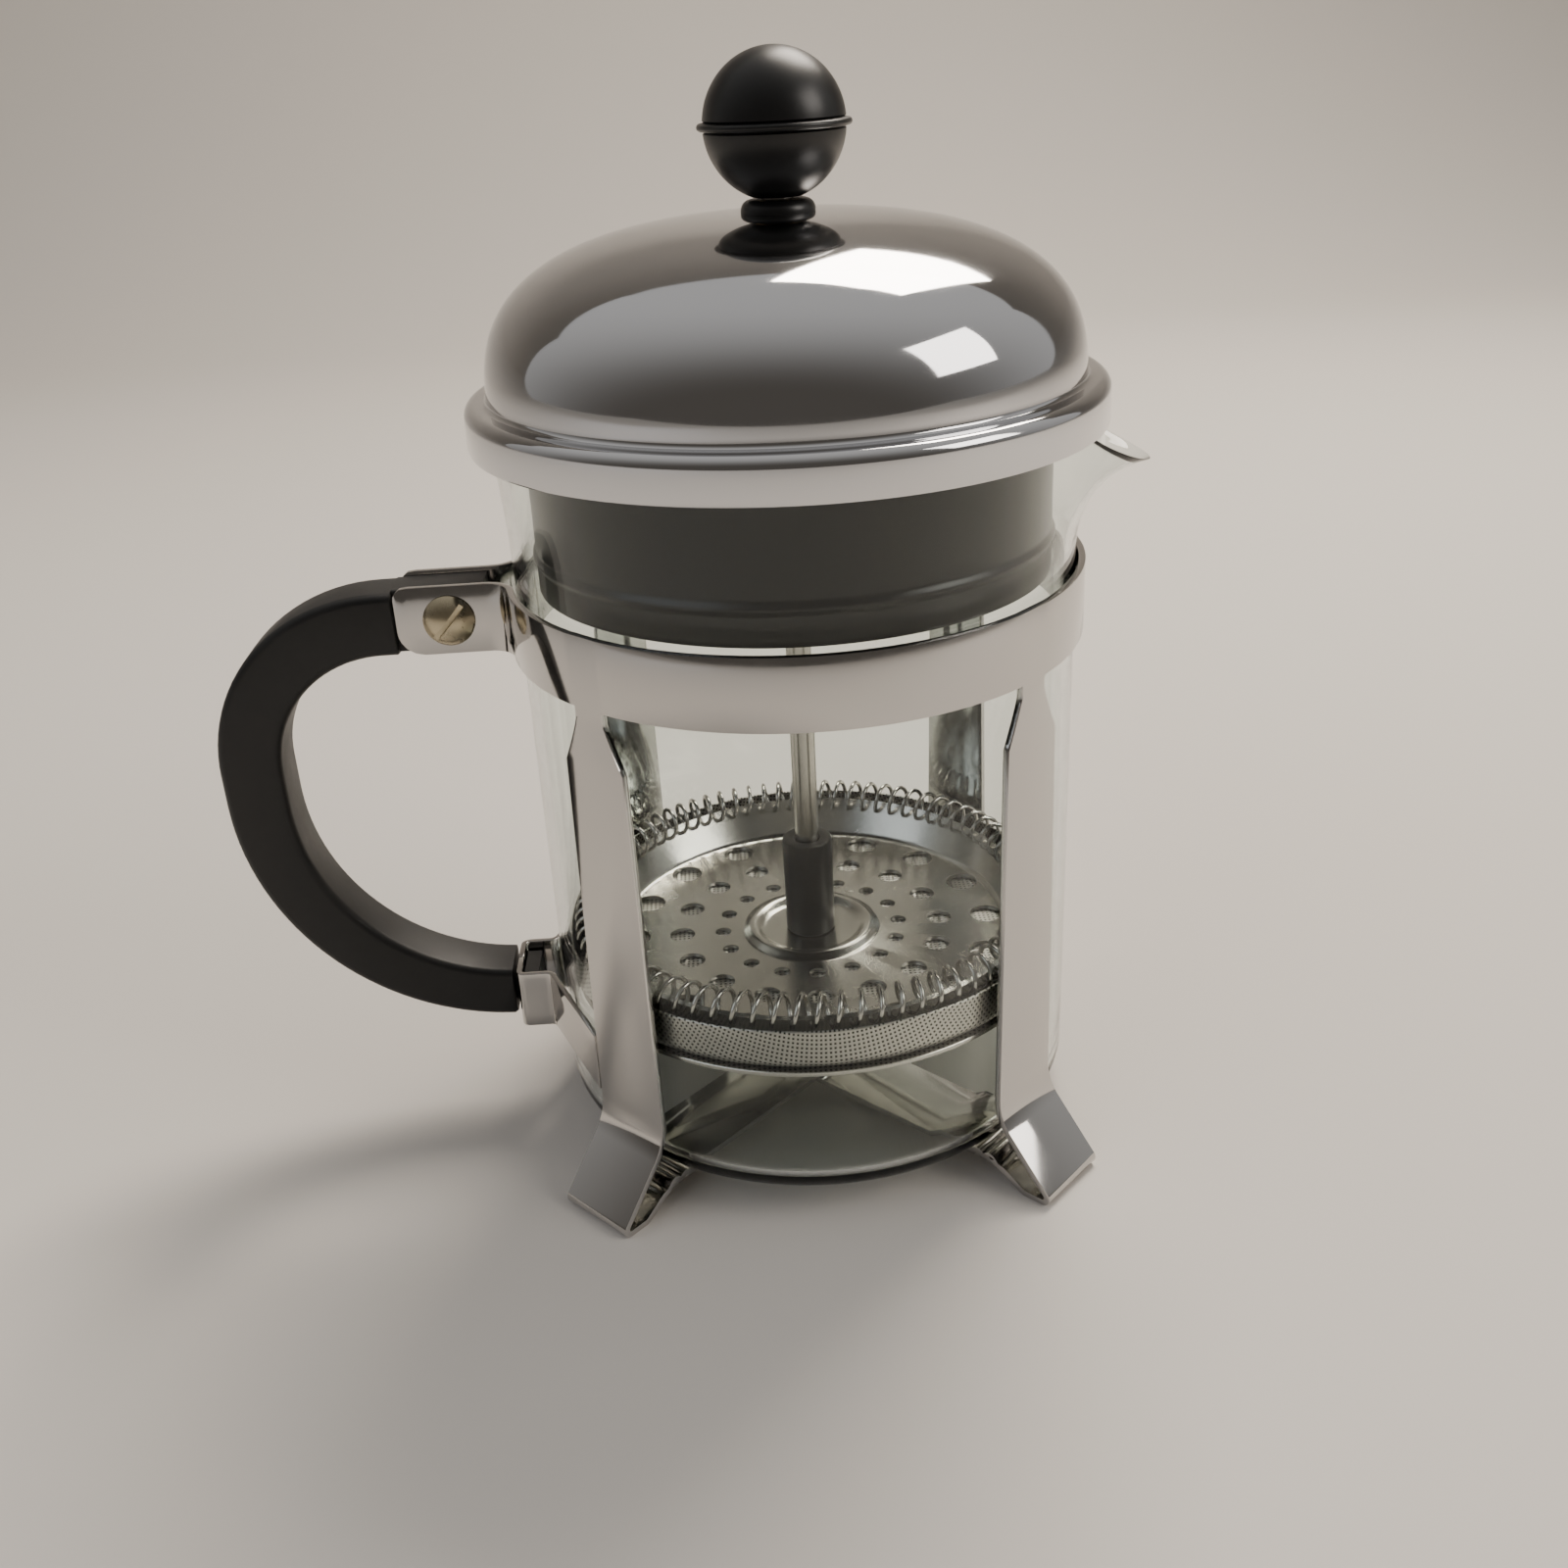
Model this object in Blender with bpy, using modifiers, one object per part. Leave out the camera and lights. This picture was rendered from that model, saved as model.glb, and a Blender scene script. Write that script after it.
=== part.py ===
"""French press: glass beaker in a sprung steel frame, domed lid and plunger.

+Z up, metres.  The origin is on the ground, under the middle of the whole object.
The handle points to -X, the spout to +X.  Every piece is modelled about the press axis,
which stands at x = AXIS_X, and its object is then placed there.
"""
from math import atan2, cos, hypot, pi, radians, sin, sqrt

import bmesh
import bpy
from mathutils import Matrix, Vector

MM = 0.001
GAP = 0.3 * MM                    # clearance left between pieces that touch

# --- beaker -------------------------------------------------------------------------------
BEAKER_R = 42.5 * MM              # outer radius of the straight wall
BEAKER_HEIGHT = 112.8 * MM
BEAKER_WALL = 1.6 * MM
BEAKER_FLOOR = 2.2 * MM
BEAKER_CORNER = 5.0 * MM          # radius of the outer bottom corner
BEAKER_FLARE = 1.3 * MM           # how far the rim stands out from the straight wall
FLARE_LENGTH = 20.1 * MM
BEAKER_REST = 0.5 * MM            # between the glass and the ridges it stands on
SPOUT_REACH = 11.0 * MM           # the spout's lip beyond the rim
SPOUT_DROP = 11.3 * MM            # and below it
SPOUT_HALF_ANGLE = radians(35)

# --- frame --------------------------------------------------------------------------------
SHEET = 1.0 * MM
BEAKER_CLEAR = 0.4 * MM           # between the glass and the band
BAND_DROP = 34.2 * MM             # from the beaker's rim to the band's lower edge
BAND_HEIGHT = 10.6 * MM
BAND_FACET = radians(4.3)         # half the flat at each leg
BAND_BEND = 4.5 * MM              # bend from the ring into a clamp tab, on the midline
TAB_GAP = 7.6 * MM                # between the inner faces of the two clamp tabs
TAB_LENGTH = 13.6 * MM
LEG_ANGLES = (radians(45), radians(135))
NECK_WIDTH = 5.4 * MM
NECK_LENGTH = 1.5 * MM
SHOULDER_LENGTH = 7.0 * MM
SHOULDER_WIDTH = 11.6 * MM
FOOT_WIDTH = 13.4 * MM
STRIP_WIDTH = 13.0 * MM
FOOT_SPREAD = 9.8 * MM            # the foot's tip beyond the leg
FOOT_SPLAY = radians(41)          # the foot's slope from the vertical
FOOT_BEND = 13.5 * MM
FOOT_FOLD = 0.9 * MM              # midline radius of the fold at the foot's tip
FOOT_FLAT = 3.3 * MM              # length of the foot's flat underside
RETURN_SLOPE = radians(28)        # rise of the strip from the foot to the glass
STRIP_LOW = 1.9 * MM              # underside of the lower strap's strip, from the ground
RIDGE_INSETS = (3.1 * MM, 0.8 * MM)   # the two ridges of each strip, in from the glass wall
RIDGE_HALF = 0.9 * MM
RIDGE_RISE = 0.6 * MM
RIVET_R = 2.0 * MM
RIVET_HEAD_R = 4.0 * MM
RIVET_HEAD_LOW = 1.0 * MM

# --- lower bracket of the handle -------------------------------------------------------------
BRACKET_SHEET = 0.9 * MM
BRACKET_RAISE = 11.0 * MM         # its lower edge above the beaker's bottom
BRACKET_HEIGHT = 10.2 * MM
POCKET_OUT = 6.8 * MM             # outer face of the pocket, from the legs
POCKET_HALF = 5.8 * MM
POCKET_DEPTH = 4.9 * MM
POCKET_BEND = 1.05 * MM

# --- handle -------------------------------------------------------------------------------
HANDLE_WIDE = 9.7 * MM
HANDLE_DEEP = 9.8 * MM
HANDLE_DEEP_LOW = 8.7 * MM
HANDLE_EDGE = 1.4 * MM
HANDLE_ARM = 20.3 * MM            # straight top arm, from the band to the bend
HANDLE_BEND = 23.2 * MM
HANDLE_DIP = 0.45 * MM            # the top arm below the middle of the band
HANDLE_LIFT = 0.9 * MM            # the sweep's low end above the middle of the pocket
HANDLE_END = 1.0 * MM             # and inside its outer face
TANG_INSET = 0.9 * MM             # the tang's top and bottom from the tabs' edges
TANG_CLEAR = 3.9 * MM             # the tang's end from the band
NECK_WIDE = 3.8 * MM
NECK_DEEP = 4.4 * MM
HEAD_CLEAR = 0.7 * MM             # between the head and the pocket's walls
HEAD_INSET = 1.1 * MM             # its top and bottom from the pocket's edges
HEAD_THICK = 2.4 * MM

# --- clamp screw ----------------------------------------------------------------------------
SCREW_OUT = 9.3 * MM              # from the band
SCREW_R = 2.0 * MM
SCREW_HEAD_R = 3.65 * MM
SCREW_HEAD = 2.0 * MM
SLOT_WIDE = 0.9 * MM
SLOT_DEEP = 0.9 * MM
SLOT_TURN = radians(48)
NUT_ACROSS = 7.0 * MM
NUT_HEIGHT = 3.0 * MM

# --- lid ----------------------------------------------------------------------------------
LID_SHEET = 0.8 * MM
LID_CLEAR = 2.1 * MM              # between the beaker's rim and the skirt
SKIRT_LAP = 3.1 * MM              # how far the skirt hangs below the rim
LEDGE_RAISE = 2.9 * MM            # the ledge above the rim
LEDGE_WIDTH = 3.4 * MM
DOME_RISE = 23.2 * MM
DOME_POWER = 2.65                 # 2 would be an ellipse; more is fuller
LINER_CLEAR = 2.05 * MM           # between the liner and the glass
LINER_WALL = 1.6 * MM
LINER_DROP = 24.1 * MM            # how far the liner hangs below the rim
LINER_INSET = 1.5 * MM            # its flange from the outside of the skirt
LINER_FLANGE = 1.0 * MM
LINER_RIB_RAISE = 5.4 * MM
LINER_RIB = 0.6 * MM
BOSS_WALL = 3.7 * MM
BOSS_DROP = 6.0 * MM
COLLAR_WALL = 2.95 * MM
COLLAR_NECK_WALL = 1.5 * MM
STEM_WALL = 1.3 * MM
STEM_DROP = 4.6 * MM
LID_NUT_WALL = 1.7 * MM
LID_NUT_HEIGHT = 2.4 * MM

# --- plunger --------------------------------------------------------------------------------
ROD_R = 2.0 * MM
KNOB_R = 9.9 * MM
KNOB_BEAD = 0.85 * MM             # how far the bead stands out of the ball
KNOB_BEAD_HALF = 0.7 * MM
KNOB_SINK = 0.64 * MM             # the flat under the ball, from its lowest point
INSERT_WALL = 1.3 * MM
INSERT_LENGTH = 10.0 * MM
FILTER_RAISE = 21.3 * MM          # the lowest filter disc above the beaker's bottom
CROSS_SHEET = 0.8 * MM
MESH_SHEET = 0.25 * MM
PLATE_SHEET = 0.8 * MM
FILTER_CLEAR = 0.45 * MM          # between the mesh's rim and the glass
MESH_RIM = 7.2 * MM
COIL_R = 2.9 * MM                 # outer radius of the coiled spring
COIL_WIRE_R = 0.4 * MM
COIL_SEAT = 0.15 * MM             # between the coil and the top of the plate's rim
COIL_TURNS = 48
COIL_STEPS = 5                    # points along each turn
PLATE_RIM_LAP = 1.4 * MM          # the plate's rim inside the middle of the coil
PLATE_RIM_WIDTH = 2.6 * MM
PLATE_RIM_RISE = 3.9 * MM
BEAD_WIDTH = 5.7 * MM             # raised ring of the plate, from the sleeve
BEAD_RISE = 0.7 * MM
HOLE_FILL = (0.178, 0.283, 0.342)    # hole radii of the inner, middle and outer row, of the rows' pitch
HOLE_ROW_INNER = 5.2 * MM         # the inner row, out from the raised ring
HOLE_ROW_OUTER = 2.8 * MM         # the outer row, in from the plate's bend
HOLE_ROW_SHIFT = 0.08             # the middle row, in from halfway, of the rows' pitch
HOLES_PER_ROW = 16
SLEEVE_WALL = 1.8 * MM
SLEEVE_RAISE = 19.4 * MM          # its top above the lowest disc
FILTER_NUT_WALL = 3.2 * MM        # across its flats, from the bore
FILTER_NUT_HEIGHT = 4.0 * MM
WINDOW_INNER = 10.0 * MM
WINDOW_RIM = 6.9 * MM             # the windows' outer edge, in from the glass
SPOKE_HALF = 4.0 * MM

# --- worked out from the above ----------------------------------------------------------------
STEPS = 48                        # facets round the glass and what runs close to it
STEPS_MIDDLE = 36
STEPS_SMALL = 24
STRIP_RISE = STRIP_LOW + SHEET / 2 + SHEET + GAP      # midline height of the upper strap's strip
BEAKER_BOTTOM = STRIP_RISE + SHEET / 2 + RIDGE_RISE + BEAKER_REST
BEAKER_RIM = BEAKER_BOTTOM + BEAKER_HEIGHT
FLARE_START = BEAKER_RIM - FLARE_LENGTH
INNER_R = BEAKER_R - BEAKER_WALL
RIM_R = BEAKER_R + BEAKER_FLARE
RIDGE_RADII = tuple(BEAKER_R - inset for inset in RIDGE_INSETS)
BAND_MID_R = BEAKER_R + BEAKER_CLEAR + SHEET / 2
BAND_BOTTOM = BEAKER_RIM - BAND_DROP
BAND_TOP = BAND_BOTTOM + BAND_HEIGHT
TAB_MID_Y = (TAB_GAP + SHEET) / 2
FOOT_REACH = BAND_MID_R + FOOT_SPREAD
BRACKET_BOTTOM = BEAKER_BOTTOM + BRACKET_RAISE
POCKET_REACH = BAND_MID_R + POCKET_OUT
SCREW_X = -BAND_MID_R - SCREW_OUT
SCREW_Z = (BAND_BOTTOM + BAND_TOP) / 2
TANG_START_X = -BAND_MID_R - TANG_CLEAR
TANG_WIDE = TAB_GAP - 2 * GAP
TANG_DEEP = BAND_HEIGHT - 2 * TANG_INSET
HEAD_WIDE = 2 * (POCKET_HALF - BRACKET_SHEET - HEAD_CLEAR)
HEAD_DEEP = BRACKET_HEIGHT - 2 * HEAD_INSET
HANDLE_TOP_Z = SCREW_Z - HANDLE_DIP
HANDLE_BEND_X = -BAND_MID_R - HANDLE_ARM
HANDLE_REACH = -HANDLE_BEND_X + HANDLE_BEND + HANDLE_DEEP / 2
# The long lower sweep runs from the upper bend into the pocket, square to it.
HANDLE_SWEEP = HANDLE_BEND - HANDLE_BEND_X - POCKET_REACH + HANDLE_END
HANDLE_SWEEP_Z = BRACKET_BOTTOM + BRACKET_HEIGHT / 2 + HANDLE_LIFT + HANDLE_SWEEP
SPOUT_TIP = RIM_R + SPOUT_REACH
AXIS_X = (HANDLE_REACH - SPOUT_TIP) / 2
SKIRT_R = RIM_R + LID_CLEAR + LID_SHEET
SKIRT_BOTTOM = BEAKER_RIM - SKIRT_LAP
LEDGE_Z = BEAKER_RIM + LEDGE_RAISE
DOME_R = SKIRT_R - LEDGE_WIDTH
DOME_TOP = LEDGE_Z + DOME_RISE
BORE_R = ROD_R + GAP
LINER_R = INNER_R - LINER_CLEAR
LINER_BOTTOM = BEAKER_RIM - LINER_DROP
LINER_FLANGE_R = SKIRT_R - LINER_INSET
LINER_RIB_Z = LINER_BOTTOM + LINER_RIB_RAISE
BOSS_R = BORE_R + BOSS_WALL
COLLAR_R = BORE_R + COLLAR_WALL
COLLAR_NECK_R = BORE_R + COLLAR_NECK_WALL
STEM_R = BORE_R + STEM_WALL
LID_NUT_R = STEM_R + GAP + LID_NUT_WALL
COLLAR_BASE = DOME_TOP
COLLAR_TOP = COLLAR_BASE + GAP + COLLAR_R - COLLAR_NECK_R
KNOB_FLAT = COLLAR_TOP + GAP
KNOB_Z = KNOB_FLAT - KNOB_SINK + KNOB_R
INSERT_R = ROD_R + INSERT_WALL
INSERT_TOP = KNOB_FLAT + GAP + INSERT_LENGTH
FILTER_Z = BEAKER_BOTTOM + FILTER_RAISE               # underside of the lowest filter disc
SLEEVE_R = BORE_R + SLEEVE_WALL
SLEEVE_TOP = FILTER_Z + SLEEVE_RAISE
FILTER_NUT_ACROSS = 2 * (BORE_R + FILTER_NUT_WALL)
WINDOW_OUTER = INNER_R - WINDOW_RIM
BEAD_R = SLEEVE_R + BEAD_WIDTH
MESH_Z = FILTER_Z + CROSS_SHEET + GAP
PLATE_Z = MESH_Z + MESH_SHEET + GAP
COIL_Z = PLATE_Z + PLATE_SHEET + PLATE_RIM_RISE + COIL_SEAT + COIL_R
MESH_R = INNER_R - FILTER_CLEAR
COIL_RING_R = MESH_R - MESH_SHEET - GAP - COIL_R
PLATE_RIM_R = COIL_RING_R - PLATE_RIM_LAP
PLATE_FLAT_R = PLATE_RIM_R - PLATE_RIM_WIDTH
ROW_INNER, ROW_OUTER = BEAD_R + HOLE_ROW_INNER, PLATE_FLAT_R - HOLE_ROW_OUTER
ROW_PITCH = (ROW_OUTER - ROW_INNER) / 2
HOLE_ROWS = tuple(zip((ROW_INNER, ROW_OUTER - (1 + HOLE_ROW_SHIFT) * ROW_PITCH, ROW_OUTER),
                      (fill * ROW_PITCH for fill in HOLE_FILL)))


# --- building blocks -----------------------------------------------------------------------
def clear_scene():
    for obj in list(bpy.data.objects):
        bpy.data.objects.remove(obj, do_unlink=True)


def new_collection(name):
    found = bpy.data.collections.new(name)
    bpy.context.scene.collection.children.link(found)
    return found


def new_material(name, colour, roughness, metallic=0.0, alpha=1.0):
    made = bpy.data.materials.new(name)
    made.use_nodes = True
    shader = made.node_tree.nodes["Principled BSDF"]
    shader.inputs["Base Color"].default_value = (*colour, 1.0)
    shader.inputs["Roughness"].default_value = roughness
    shader.inputs["Metallic"].default_value = metallic
    shader.inputs["Alpha"].default_value = alpha
    made.diffuse_color = (*colour, alpha)
    return made


def chrome(name):
    return new_material(name, (0.80, 0.80, 0.81), 0.12, 1.0)


def steel(name):
    return new_material(name, (0.62, 0.62, 0.63), 0.3, 1.0)


def black_plastic(name):
    return new_material(name, (0.012, 0.012, 0.013), 0.45)


def place(obj, material):
    """Put a finished piece in the model's collection, on the press axis."""
    parts.objects.link(obj)
    obj.data.materials.append(material)
    obj.location.x = AXIS_X
    return obj


def mesh_object(name, bm):
    mesh = bpy.data.meshes.new(name)
    bm.to_mesh(mesh)
    bm.free()
    return bpy.data.objects.new(name, mesh)


def evaluated_copy(obj):
    """The object with its modifiers or its curve turned into a plain mesh."""
    bpy.context.view_layer.update()
    graph = bpy.context.evaluated_depsgraph_get()
    mesh = bpy.data.meshes.new_from_object(obj.evaluated_get(graph))
    name, matrix = obj.name, obj.matrix_world.copy()
    bpy.data.objects.remove(obj, do_unlink=True)
    made = bpy.data.objects.new(name, mesh)
    made.matrix_world = matrix
    return made


def turned(name, profile, material, steps=STEPS, closed=True, thickness=None):
    """A profile of (radius, height) turned about Z; an open one is given a wall."""
    bm = bmesh.new()
    points = [bm.verts.new((r, 0, z)) for r, z in profile]
    for first, second in zip(points, points[1:]):
        bm.edges.new((first, second))
    if closed and min(profile[0][0], profile[-1][0]) > 0:
        bm.edges.new((points[-1], points[0]))
    obj = place(mesh_object(name, bm), material)
    screw = obj.modifiers.new("turn", "SCREW")
    screw.axis = "Z"
    screw.steps = screw.render_steps = steps
    screw.use_merge_vertices = True
    screw.merge_threshold = 0.00001
    screw.use_smooth_shade = False
    if thickness:
        wall = obj.modifiers.new("wall", "SOLIDIFY")
        wall.thickness = thickness
        wall.offset = 0
        wall.use_even_offset = True
    return obj


def arc(cx, cz, radius, start, end, count):
    """Points on an arc, from start to end in radians, both ends included."""
    turns = [start + (end - start) * i / count for i in range(count + 1)]
    return [(cx + radius * cos(a), cz + radius * sin(a)) for a in turns]


def cutter(name, bm):
    obj = mesh_object(name, bm)
    cutters.objects.link(obj)
    obj.location.x = AXIS_X
    obj.hide_render = True
    obj.display_type = "WIRE"
    return obj


def cut(obj, tool):
    boolean = obj.modifiers.new("cut " + tool.name, "BOOLEAN")
    boolean.operation = "DIFFERENCE"
    boolean.solver = "EXACT"
    boolean.object = tool


def add_cylinder(bm, radius, depth, matrix, segments=12):
    bmesh.ops.create_cone(bm, cap_ends=True, segments=segments, radius1=radius,
                          radius2=radius, depth=depth, matrix=matrix)


def add_box(bm, low, high):
    size = [b - a for a, b in zip(low, high)]
    middle = [(a + b) / 2 for a, b in zip(low, high)]
    bmesh.ops.create_cube(bm, size=1, matrix=Matrix.Translation(middle) @ Matrix.Diagonal((*size, 1)))


def loft(bm, rings, closed=True):
    """Faces between neighbouring rings of points; closed rings get end caps."""
    loops = [[bm.verts.new(point) for point in ring] for ring in rings]
    for low, high in zip(loops, loops[1:]):
        count = len(low) if closed else len(low) - 1
        for i in range(count):
            j = (i + 1) % len(low)
            bm.faces.new((low[i], low[j], high[j], high[i]))
    if closed:
        bm.faces.new(loops[0][::-1])
        bm.faces.new(loops[-1])
        bmesh.ops.recalc_face_normals(bm, faces=bm.faces)


def ribbon(name, rows, thickness, material):
    """A bent strip: rows of (first corner, second corner), given a wall."""
    bm = bmesh.new()
    loft(bm, rows, closed=False)
    obj = place(mesh_object(name, bm), material)
    wall = obj.modifiers.new("wall", "SOLIDIFY")
    wall.thickness = thickness
    wall.offset = 0
    wall.use_even_offset = True
    return obj


# --- frame --------------------------------------------------------------------------------
def band_half():
    """Midline of the band's -Y half, from the tab's end round to +X."""
    bend_x = -sqrt((BAND_MID_R + BAND_BEND) ** 2 - (TAB_MID_Y + BAND_BEND) ** 2)
    bend_y = -(TAB_MID_Y + BAND_BEND)
    end_x = bend_x - TAB_LENGTH
    line = [(end_x, -TAB_MID_Y), (end_x + 2.5 * MM, -TAB_MID_Y)]
    toward_axis = atan2(-bend_y, -bend_x)
    line += arc(bend_x, bend_y, BAND_BEND, pi / 2, toward_axis, 4)
    leave = -pi + toward_axis
    stops = [leave + radians(6), -LEG_ANGLES[1] - BAND_FACET, None,
             -LEG_ANGLES[1] + BAND_FACET, -LEG_ANGLES[0] - BAND_FACET, None,
             -LEG_ANGLES[0] + BAND_FACET, 0.0]
    for start, end in zip(stops, stops[1:]):
        if start is None or end is None:
            continue
        count = max(1, round((end - start) / radians(8)))
        line += arc(0, 0, BAND_MID_R, start, end, count)
    return line


def frame_band():
    half = band_half()
    line = half[:-1] + [(x, -y) for x, y in reversed(half)]
    rows = []
    for i, (x, y) in enumerate(line):
        at_end = i in (0, len(line) - 1)
        low = BAND_BOTTOM + (2.5 * MM if at_end else 0)
        high = BAND_TOP - (1.5 * MM if at_end else 0)
        rows.append(((x, y, low), (x, y, high)))
    band = ribbon("frame_band", rows, SHEET, chrome("chromed band"))
    bm = bmesh.new()
    turn = Matrix.Translation((SCREW_X, 0, SCREW_Z)) @ Matrix.Rotation(pi / 2, 4, "X")
    add_cylinder(bm, SCREW_R + GAP, 4 * TAB_MID_Y, turn)
    cut(band, cutter("band screw hole", bm))
    return band


def strap_path(strip_z):
    """(distance from the axis, height, width) from the strap's middle out and up to a neck."""
    path = [(0.0, strip_z, STRIP_WIDTH)]
    if strip_z < STRIP_RISE:
        path += [(30.0 * MM, strip_z, STRIP_WIDTH)]
    for ridge in RIDGE_RADII:
        path += [(ridge - RIDGE_HALF, STRIP_RISE, STRIP_WIDTH),
                 (ridge - RIDGE_HALF / 3, STRIP_RISE + RIDGE_RISE, STRIP_WIDTH),
                 (ridge + RIDGE_HALF / 3, STRIP_RISE + RIDGE_RISE, STRIP_WIDTH),
                 (ridge + RIDGE_HALF, STRIP_RISE, STRIP_WIDTH)]
    fold_r = FOOT_REACH - FOOT_FOLD - SHEET / 2
    fold_z = FOOT_FOLD + SHEET / 2
    flat_end = fold_r - FOOT_FLAT
    rise = STRIP_RISE - SHEET / 2
    path += [(flat_end - rise * cos(RETURN_SLOPE) / sin(RETURN_SLOPE), STRIP_RISE, STRIP_WIDTH),
             (flat_end, SHEET / 2, FOOT_WIDTH)]
    fold = arc(fold_r, fold_z, FOOT_FOLD, -pi / 2, FOOT_SPLAY, 5)
    path += [(r, z, FOOT_WIDTH) for r, z in fold]
    tip_r, tip_z = fold[-1]
    corner_z = tip_z + (tip_r - BAND_MID_R) / sin(FOOT_SPLAY) * cos(FOOT_SPLAY)
    bend_z = corner_z + FOOT_BEND * sin(FOOT_SPLAY / 2) / cos(FOOT_SPLAY / 2)
    bend = arc(BAND_MID_R + FOOT_BEND, bend_z, FOOT_BEND, pi + FOOT_SPLAY, pi, 4)
    path += [(r, z, FOOT_WIDTH) for r, z in bend]
    neck_top = BAND_BOTTOM - GAP
    path += [(BAND_MID_R, neck_top - NECK_LENGTH - SHOULDER_LENGTH, SHOULDER_WIDTH),
             (BAND_MID_R, neck_top - NECK_LENGTH, NECK_WIDTH),
             (BAND_MID_R, neck_top, NECK_WIDTH)]
    return path


def leg_strap(name, angle, strip_z):
    half = strap_path(strip_z)
    path = [(-r, z, w) for r, z, w in reversed(half[1:])] + half
    along = Vector((cos(angle), sin(angle), 0))
    across = Vector((-sin(angle), cos(angle), 0))
    rows = []
    for r, z, w in path:
        middle = along * r + Vector((0, 0, z))
        rows.append((middle - across * w / 2, middle + across * w / 2))
    strap = ribbon(name, rows, SHEET, chrome(name + " chrome"))
    bm = bmesh.new()
    add_cylinder(bm, RIVET_R + GAP, 20 * MM, Matrix.Identity(4))
    cut(strap, cutter(name + " rivet hole", bm))
    return strap


def base_rivet(low_strip_z):
    under = low_strip_z - SHEET / 2 - GAP
    over = STRIP_RISE + SHEET / 2 + GAP
    top = BEAKER_BOTTOM - GAP
    profile = [(0, top), (RIVET_HEAD_R, top), (RIVET_HEAD_R, over), (RIVET_R, over),
               (RIVET_R, under), (RIVET_HEAD_R, under),
               (RIVET_HEAD_R - 0.8 * MM, under - RIVET_HEAD_LOW), (0, under - RIVET_HEAD_LOW)]
    return turned("base_rivet", profile, steel("rivet"), STEPS_SMALL)


def bracket(name, side):
    """Half of the pocket that holds the handle's lower end; side is -1 in front, 1 behind."""
    half = BRACKET_SHEET / 2
    out_x = -(POCKET_REACH - half)
    side_y = POCKET_HALF - half
    in_x = -(POCKET_REACH - POCKET_DEPTH)
    line = [(out_x, GAP / 2), (out_x, side_y - POCKET_BEND)]
    line += arc(out_x + POCKET_BEND, side_y - POCKET_BEND, POCKET_BEND, pi, pi / 2, 3)[1:]
    line.append((in_x, side_y))
    leg = Vector((cos(LEG_ANGLES[1]), sin(LEG_ANGLES[1])))
    edge = Vector((-leg.y, leg.x)) * FOOT_WIDTH / 2
    reach = BAND_MID_R * leg + edge - Vector((in_x, side_y))
    reach -= reach.normalized() * (half + SHEET / 2)
    line.append((in_x + reach.x, side_y + reach.y))
    rows = [((x, side * y, BRACKET_BOTTOM), (x, side * y, BRACKET_BOTTOM + BRACKET_HEIGHT))
            for x, y in line]
    obj = ribbon(name, rows, BRACKET_SHEET, chrome(name + " chrome"))
    middle = BRACKET_BOTTOM + BRACKET_HEIGHT / 2
    bm = bmesh.new()
    add_box(bm, (out_x - 3 * MM, -NECK_WIDE / 2 - GAP, middle - NECK_DEEP / 2 - GAP),
            (out_x + 3 * MM, NECK_WIDE / 2 + GAP, middle + NECK_DEEP / 2 + GAP))
    cut(obj, cutter(name + " window", bm))
    return obj


# --- handle -------------------------------------------------------------------------------
def section(wide, deep, edge):
    """A rounded rectangle as (sideways, outwards) points."""
    points = []
    for quarter in range(4):
        sx = 1 if quarter in (0, 3) else -1
        sy = 1 if quarter < 2 else -1
        points += arc(sx * (wide / 2 - edge), sy * (deep / 2 - edge), edge,
                      quarter * pi / 2, (quarter + 1) * pi / 2, 2)
    return points


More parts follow.
